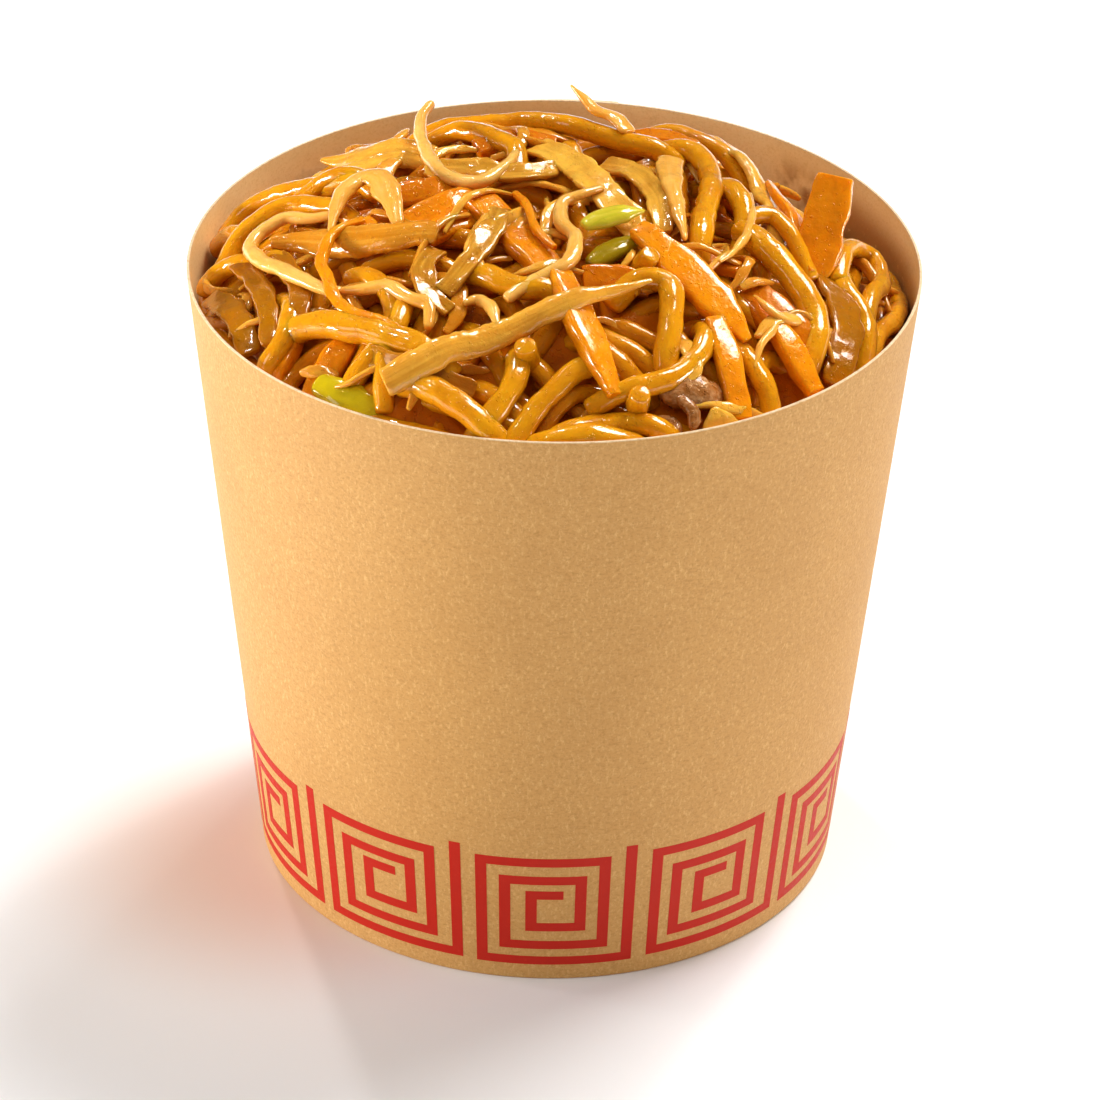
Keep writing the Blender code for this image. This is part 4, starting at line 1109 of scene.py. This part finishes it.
# ------------------------------------------------------------------ onion
# Strips of onion, flat, amber and see-through, each with a crease along it: a long one
# lies slanting across the front, one over the left side, and a short one at the back.
ONION_PALE = (0.95, 0.50, 0.060)
ONION_AMBER = (0.62, 0.20, 0.003)
ONION_SAUCE = (0.45, 0.15, 0.015)
onions = Batch(sides=24, squareness=0.3, lumps=0.06, crinkle=0.03, step=0.5)
lay(onions, (4.6, 4.4, 3.8, 3.2, 2.2), 1.6, (1.0, 1.2, 0.6),
    [(-24, -46), (-18, -44), (-12, -41), (-4, -37), (3, -35), (9, -32), (14, -29)],
    tone=0.25, roll=-28, cup=-0.10, ripple=0.15, ends=(1.0, 0.35), blunt=0.8, most=2.4)
lay(onions, (3.4, 5.0, 5.0, 4.4), 1.5, (0, 0.6, 0.4),
    [(-42, -7), (-38, -8), (-32, -13), (-25, -17), (-17, -19)],
    tone=0.55, roll=-30, cup=-0.08, ripple=0.2, ends=(0.6, 0.7), blunt=0.7, most=1.8)
lay(onions, (3.0, 4.2, 3.6, 3.0), 1.4, (0.3, 0.8, 0.4),
    [(-36, 25), (-31, 21), (-25, 17), (-18, 14)],
    tone=0.2, roll=-25, cup=-0.08, ripple=0.2, ends=(0.3, 0.7), blunt=0.6, most=1.8)
onion_colour = streaked(ONION_PALE, ONION_AMBER, (0.4, 1.5), (0.08, 1.6, 0.5), 1.1)
onion_material = sauced_food("onion", ONION_PALE, ONION_SAUCE, 0.25, 0.3, heap_depth,
                             onion_colour, subsurface=0.4, coat=1.0)
onion_piece = onions.finish("onion", onion_material)
for node in ("onion_strip_front", "onion_strip_left"):
    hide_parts(node)


# ------------------------------------------------------------------ bean sprouts
# Bean sprouts and the finest onion shreds: pale, glassy, tapering threads that loop
# over the top of everything else.
SPROUT_PALE = (0.95, 0.57, 0.15)
SPROUT_AMBER = (0.86, 0.35, 0.025)
SPROUT_SAUCE = (0.60, 0.26, 0.03)
sprouts = Batch(sides=16, squareness=0.1, crinkle=0.025, step=0.5)
for width, thick, tone, ends, rises, points in [
    (2.4, 2.0, 0.1, (0.6, 0.8), (0, 1.2, 0.2),
     [(-32, -5), (-36, -4), (-40, -2), (-44, -4), (-45, -8), (-43, -13), (-40, -17), (-35, -23),
      (-31, -26)]),
    ((2.0, 3.6, 4.2, 3.2), 1.7, 0.3, (0.5, 0.6), (0, 2.6, 0),
     [(-33, -11), (-32, -5), (-29, -1), (-26, -3), (-24, -9), (-23, -14)]),
    (2.2, 1.9, 0.3, (0.6, 0.6), (0, 0.5, 0),
     [(-31, -26), (-28, -27), (-24, -28), (-21, -31), (-18, -33), (-18, -37)]),
    (1.9, 1.6, 0.2, (0.5, 0.5), (0, 0.8, 0), [(-13, -32), (-11, -31), (-9, -34), (-8, -38)]),
    (2.2, 1.8, 0.4, (0.5, 0.5), (0, 0.3, 0), [(-10, -14), (-11, -19), (-12, -23), (-10, -28)]),
    (2.3, 2.0, 0.2, (0.5, 0.8), (0, 0.8, 0),
     [(7, -6), (4, -8), (1, -10), (1, -15), (3, -20), (2, -26), (-2, -29), (-7, -33)]),
    ((5.0, 3.6, 2.4, 1.6), 1.6, 0.3, (0.9, 0.5), (0.5, 0.8, 0),
     [(17, 6), (17, -2), (18, -10), (19, -17)]),
    (1.4, 1.2, 0.3, (0.4, 0.4), (0, 0.3, 0), [(29, 2), (29, -6), (28, -12), (26, -17), (24, -20)]),
    (1.3, 1.1, 0.3, (0.3, 0.5), (0, 0.8, 0), [(29, -23), (31, -26), (34, -27), (37, -24)]),
    (1.2, 1.1, 0.3, (0.4, 0.4), (0, 0.5, 0), [(32, -26), (32, -29), (30, -33), (29, -37)]),
]:
    lay(sprouts, width, thick, rises, points, tone=tone, ends=ends, blunt=0.5)
place(sprouts, 2.2, 2.0,
      [(-19, 22, 15.2), (-20.5, 18, 14.6), (-20.3, 12, 14.2), (-18.8, 5, 14.4), (-16.6, -1, 14.8),
       (-12.8, -4, 15.0), (-9.7, -3, 15.4), (-6.8, 2, 15.6), (-5.7, 7, 15.2)],
      tone=0.1, ends=(0.7, 0.6), blunt=0.5)
place(sprouts, (1.0, 2.0, 3.4, 3.6), 1.4,
      [(2, 22, 18.6), (4, 20, 17.4), (6, 18, 16.4), (8.5, 17, 15.8), (11, 14, 14.8)],
      tone=0.3, ends=(0.3, 0.8), blunt=0.4)
sprout_colour = streaked(SPROUT_PALE, SPROUT_AMBER, (0.1, 1.2), (0.15, 1.6, 1.0), 0.9)
sprout_material = sauced_food("bean_sprout", SPROUT_PALE, SPROUT_SAUCE, 0.25, 0.2, heap_depth,
                              sprout_colour, subsurface=0.4, coat=1.0)
sprouts.finish("bean_sprouts", sprout_material)


# ------------------------------------------------------------------ shreds and spring onion
# The last to land: carrot cut as fine as thread, and one curved slip of spring onion.
shreds = Batch(sides=8, squareness=0.55, cap=0.3)
for width, thick, tone, rises, points in [
    (1.9, 1.4, 0.15, (0.3, 0.8, 0.2),
     [(-28, -11), (-31, -12), (-33, -14), (-34, -19), (-33, -23), (-32, -27), (-30, -31),
      (-26, -34), (-22, -37), (-18, -41)]),
    (1.3, 1.2, 0.2, (0.2, 0.6, 0.2), [(-6, -7), (-4, -12), (-3, -17), (0, -22)]),
]:
    lay(shreds, width, thick, rises, points, tone=tone, blunt=0.8, ends=(0.8, 0.7))
shreds.finish("carrot_shreds", carrot_material, 50)

LEAF_GREEN = (0.46, 0.45, 0.008)
LEAF_YELLOW = (0.72, 0.56, 0.04)
LEAF_SAUCE = (0.30, 0.22, 0.01)
leaves = Batch(sides=16, squareness=0.3)
lay(leaves, (2.8, 4.2, 3.8, 2.0), 1.6, (0.5, 1.0, 0.8), [(4, -17), (7, -15), (10, -14), (13, -13)],
    tone=0.3, cup=-0.12, ends=(0.7, 0.3), blunt=0.5)
leaf_colour = streaked(LEAF_GREEN, LEAF_YELLOW, (0.3, 1.0), (0.1, 2.0, 0.6), 0.8)
leaf_material = sauced_food("spring_onion", LEAF_GREEN, LEAF_SAUCE, 0.15, 0.2, heap_depth,
                            leaf_colour, subsurface=0.3, coat=0.8, relief=0.00015)
leaf_piece = leaves.finish("spring_onion", leaf_material)
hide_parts("spring_onion")


# ------------------------------------------------------------------ sauce in the gaps
# Sauce runs down between the strands and stands in the gaps, level with the middle of
# the strands round it: the mass below is raised to it, where it lies lower.
SAUCE_SPREAD = 2.2
SAUCE_BELOW = 4.1
CORE_TOP_FROM = 60.0


def spread_out(field, reach):
    """A field over the heap, evened out both ways over a reach in millimetres."""
    for _ in range(2):
        field = np.stack([eased(row, reach / CELL) for row in field]).T
    return field


over_heap = (laid > 0).astype(float)
sauce_level = spread_out(laid * over_heap, SAUCE_SPREAD) / np.maximum(
    spread_out(over_heap, SAUCE_SPREAD), 1e-3) - SAUCE_BELOW
for vert in core.data.vertices:
    if vert.co.z > CORE_TOP_FROM * MM:
        i, j = (int(round((along / MM - FIELD[0]) / CELL)) for along in vert.co[:2])
        vert.co.z = max(vert.co.z, float(sauce_level[i, j]) * MM)


# ------------------------------------------------------------------ floor, light, camera
# A pale studio floor, with a warm shadow painted into its colour beside the tub, tinted
# as if by light thrown back off the paper. A broad soft light stands high at the back right,
# small lamps behind the tub give the glints, and white cards low at both sides light the
# paper in an even bright room.
FOCAL_PX = 5575.2
IMAGE_PX = 1100
ELEVATION = math.radians(30.685)
DISTANCE = 859.9
AIM_HEIGHT = 49.19
TILT = math.radians(0.91)
FLOOR_PALE = (0.90, 0.89, 0.885)
# Colour, centre and reach of the shadow painted on the floor beside the tub.
FLOOR_PAINTED_SHADOW = (0.80, 0.61, 0.51)
PAINTED_SHADOW_SPOT = (-0.043, -0.014, 0.0)
PAINTED_SHADOW_REACH = (0.006, 0.044)
CARDS_FACE = (0.0, 0.0, 0.09)
ROOM_BRIGHTNESS = 0.23
ROOM_IN_GLOSS = 0.04

bpy.ops.mesh.primitive_plane_add(size=6)
floor = bpy.context.object
floor.name = "studio_floor"
floor_material, floor_tree, floor_shader = new_material("studio_floor")
# Painted shadow: the floor's colour turns darker and warmer near the tub's left side.
painted_shadow_distance = add_node(floor_tree, "ShaderNodeVectorMath", {"operation": "DISTANCE"},
                      i0=object_place(floor_tree), i1=PAINTED_SHADOW_SPOT).outputs["Value"]
floor_colour_with_painted_shadow = blend_colour(floor_tree, remap(floor_tree, painted_shadow_distance, *PAINTED_SHADOW_REACH),
                            FLOOR_PAINTED_SHADOW, FLOOR_PALE)
floor_tree.links.new(floor_colour_with_painted_shadow, floor_shader.inputs["Base Color"])
floor_shader.inputs["Roughness"].default_value = 0.7
floor.data.materials.append(floor_material)

for name, energy, degrees, sent_from in (
        ("soft_key", 2.35, 26, (0.50, 0.50, 1.0)),
        ("top_front", 0.62, 40, (-0.30, -0.50, 1.0)),
        ("back_light", 0.32, 5, (0.40, 0.95, 0.85)),
        ("right_bulb", 0.40, 3.5, (0.34, 0.50, 1.0)),
        ("left_bulb", 0.50, 3.5, (-0.28, 0.62, 1.0)),
        ("high_bulb", 0.20, 3.0, (-0.50, 0.05, 1.0))):
    lamp = bpy.data.lights.new(name, "SUN")
    lamp.energy = energy
    lamp.angle = math.radians(degrees)
    holder = bpy.data.objects.new(name, lamp)
    bpy.context.scene.collection.objects.link(holder)
    holder.rotation_euler = Vector(sent_from).to_track_quat("Z", "Y").to_euler()
    # The light from the front only fills the shadows: mirrored, it would veil wet food.
    holder.visible_glossy = name != "top_front"
for name, power, size, stands_at in (
        ("left_card", 9.0, (0.45, 0.14), (-0.95, -0.08, 0.08)),
        ("high_left", 0.7, (0.30, 0.30), (-0.90, -0.35, 0.55)),
        ("right_card", 3.8, (0.40, 0.14), (0.95, -0.15, 0.08))):
    lamp = bpy.data.lights.new(name, "AREA")
    lamp.shape = "RECTANGLE"
    lamp.size, lamp.size_y = size
    lamp.energy = power
    holder = bpy.data.objects.new(name, lamp)
    bpy.context.scene.collection.objects.link(holder)
    holder.location = stands_at
    aim = Vector(CARDS_FACE) - Vector(stands_at)
    holder.rotation_euler = aim.to_track_quat("-Z", "Y").to_euler()
world = bpy.data.worlds.new("studio")
bpy.context.scene.world = world
world.use_nodes = True
room = world.node_tree.nodes["Background"]
room.inputs["Color"].default_value = (1.0, 1.0, 1.0, 1)
mirrored = add_node(world.node_tree, "ShaderNodeLightPath").outputs["Is Glossy Ray"]
dimmed = remap(world.node_tree, mirrored, 0.0, 1.0, ROOM_BRIGHTNESS, ROOM_IN_GLOSS)
world.node_tree.links.new(dimmed, room.inputs["Strength"])
bpy.context.scene.view_settings.view_transform = "Standard"

camera_data = bpy.data.cameras.new("camera")
camera = bpy.data.objects.new("camera", camera_data)
bpy.context.scene.collection.objects.link(camera)
camera_data.sensor_width = 36.0
camera_data.lens = 36.0 * FOCAL_PX / IMAGE_PX
camera_data.clip_start = 0.01
aim = Vector((0, 0, AIM_HEIGHT)) * MM
camera.location = aim + Vector((0, -math.cos(ELEVATION), math.sin(ELEVATION))) * DISTANCE * MM
camera.rotation_euler = (math.pi / 2 - ELEVATION, 0, 0)
camera.rotation_euler.rotate_axis("Z", TILT)
bpy.context.scene.camera = camera
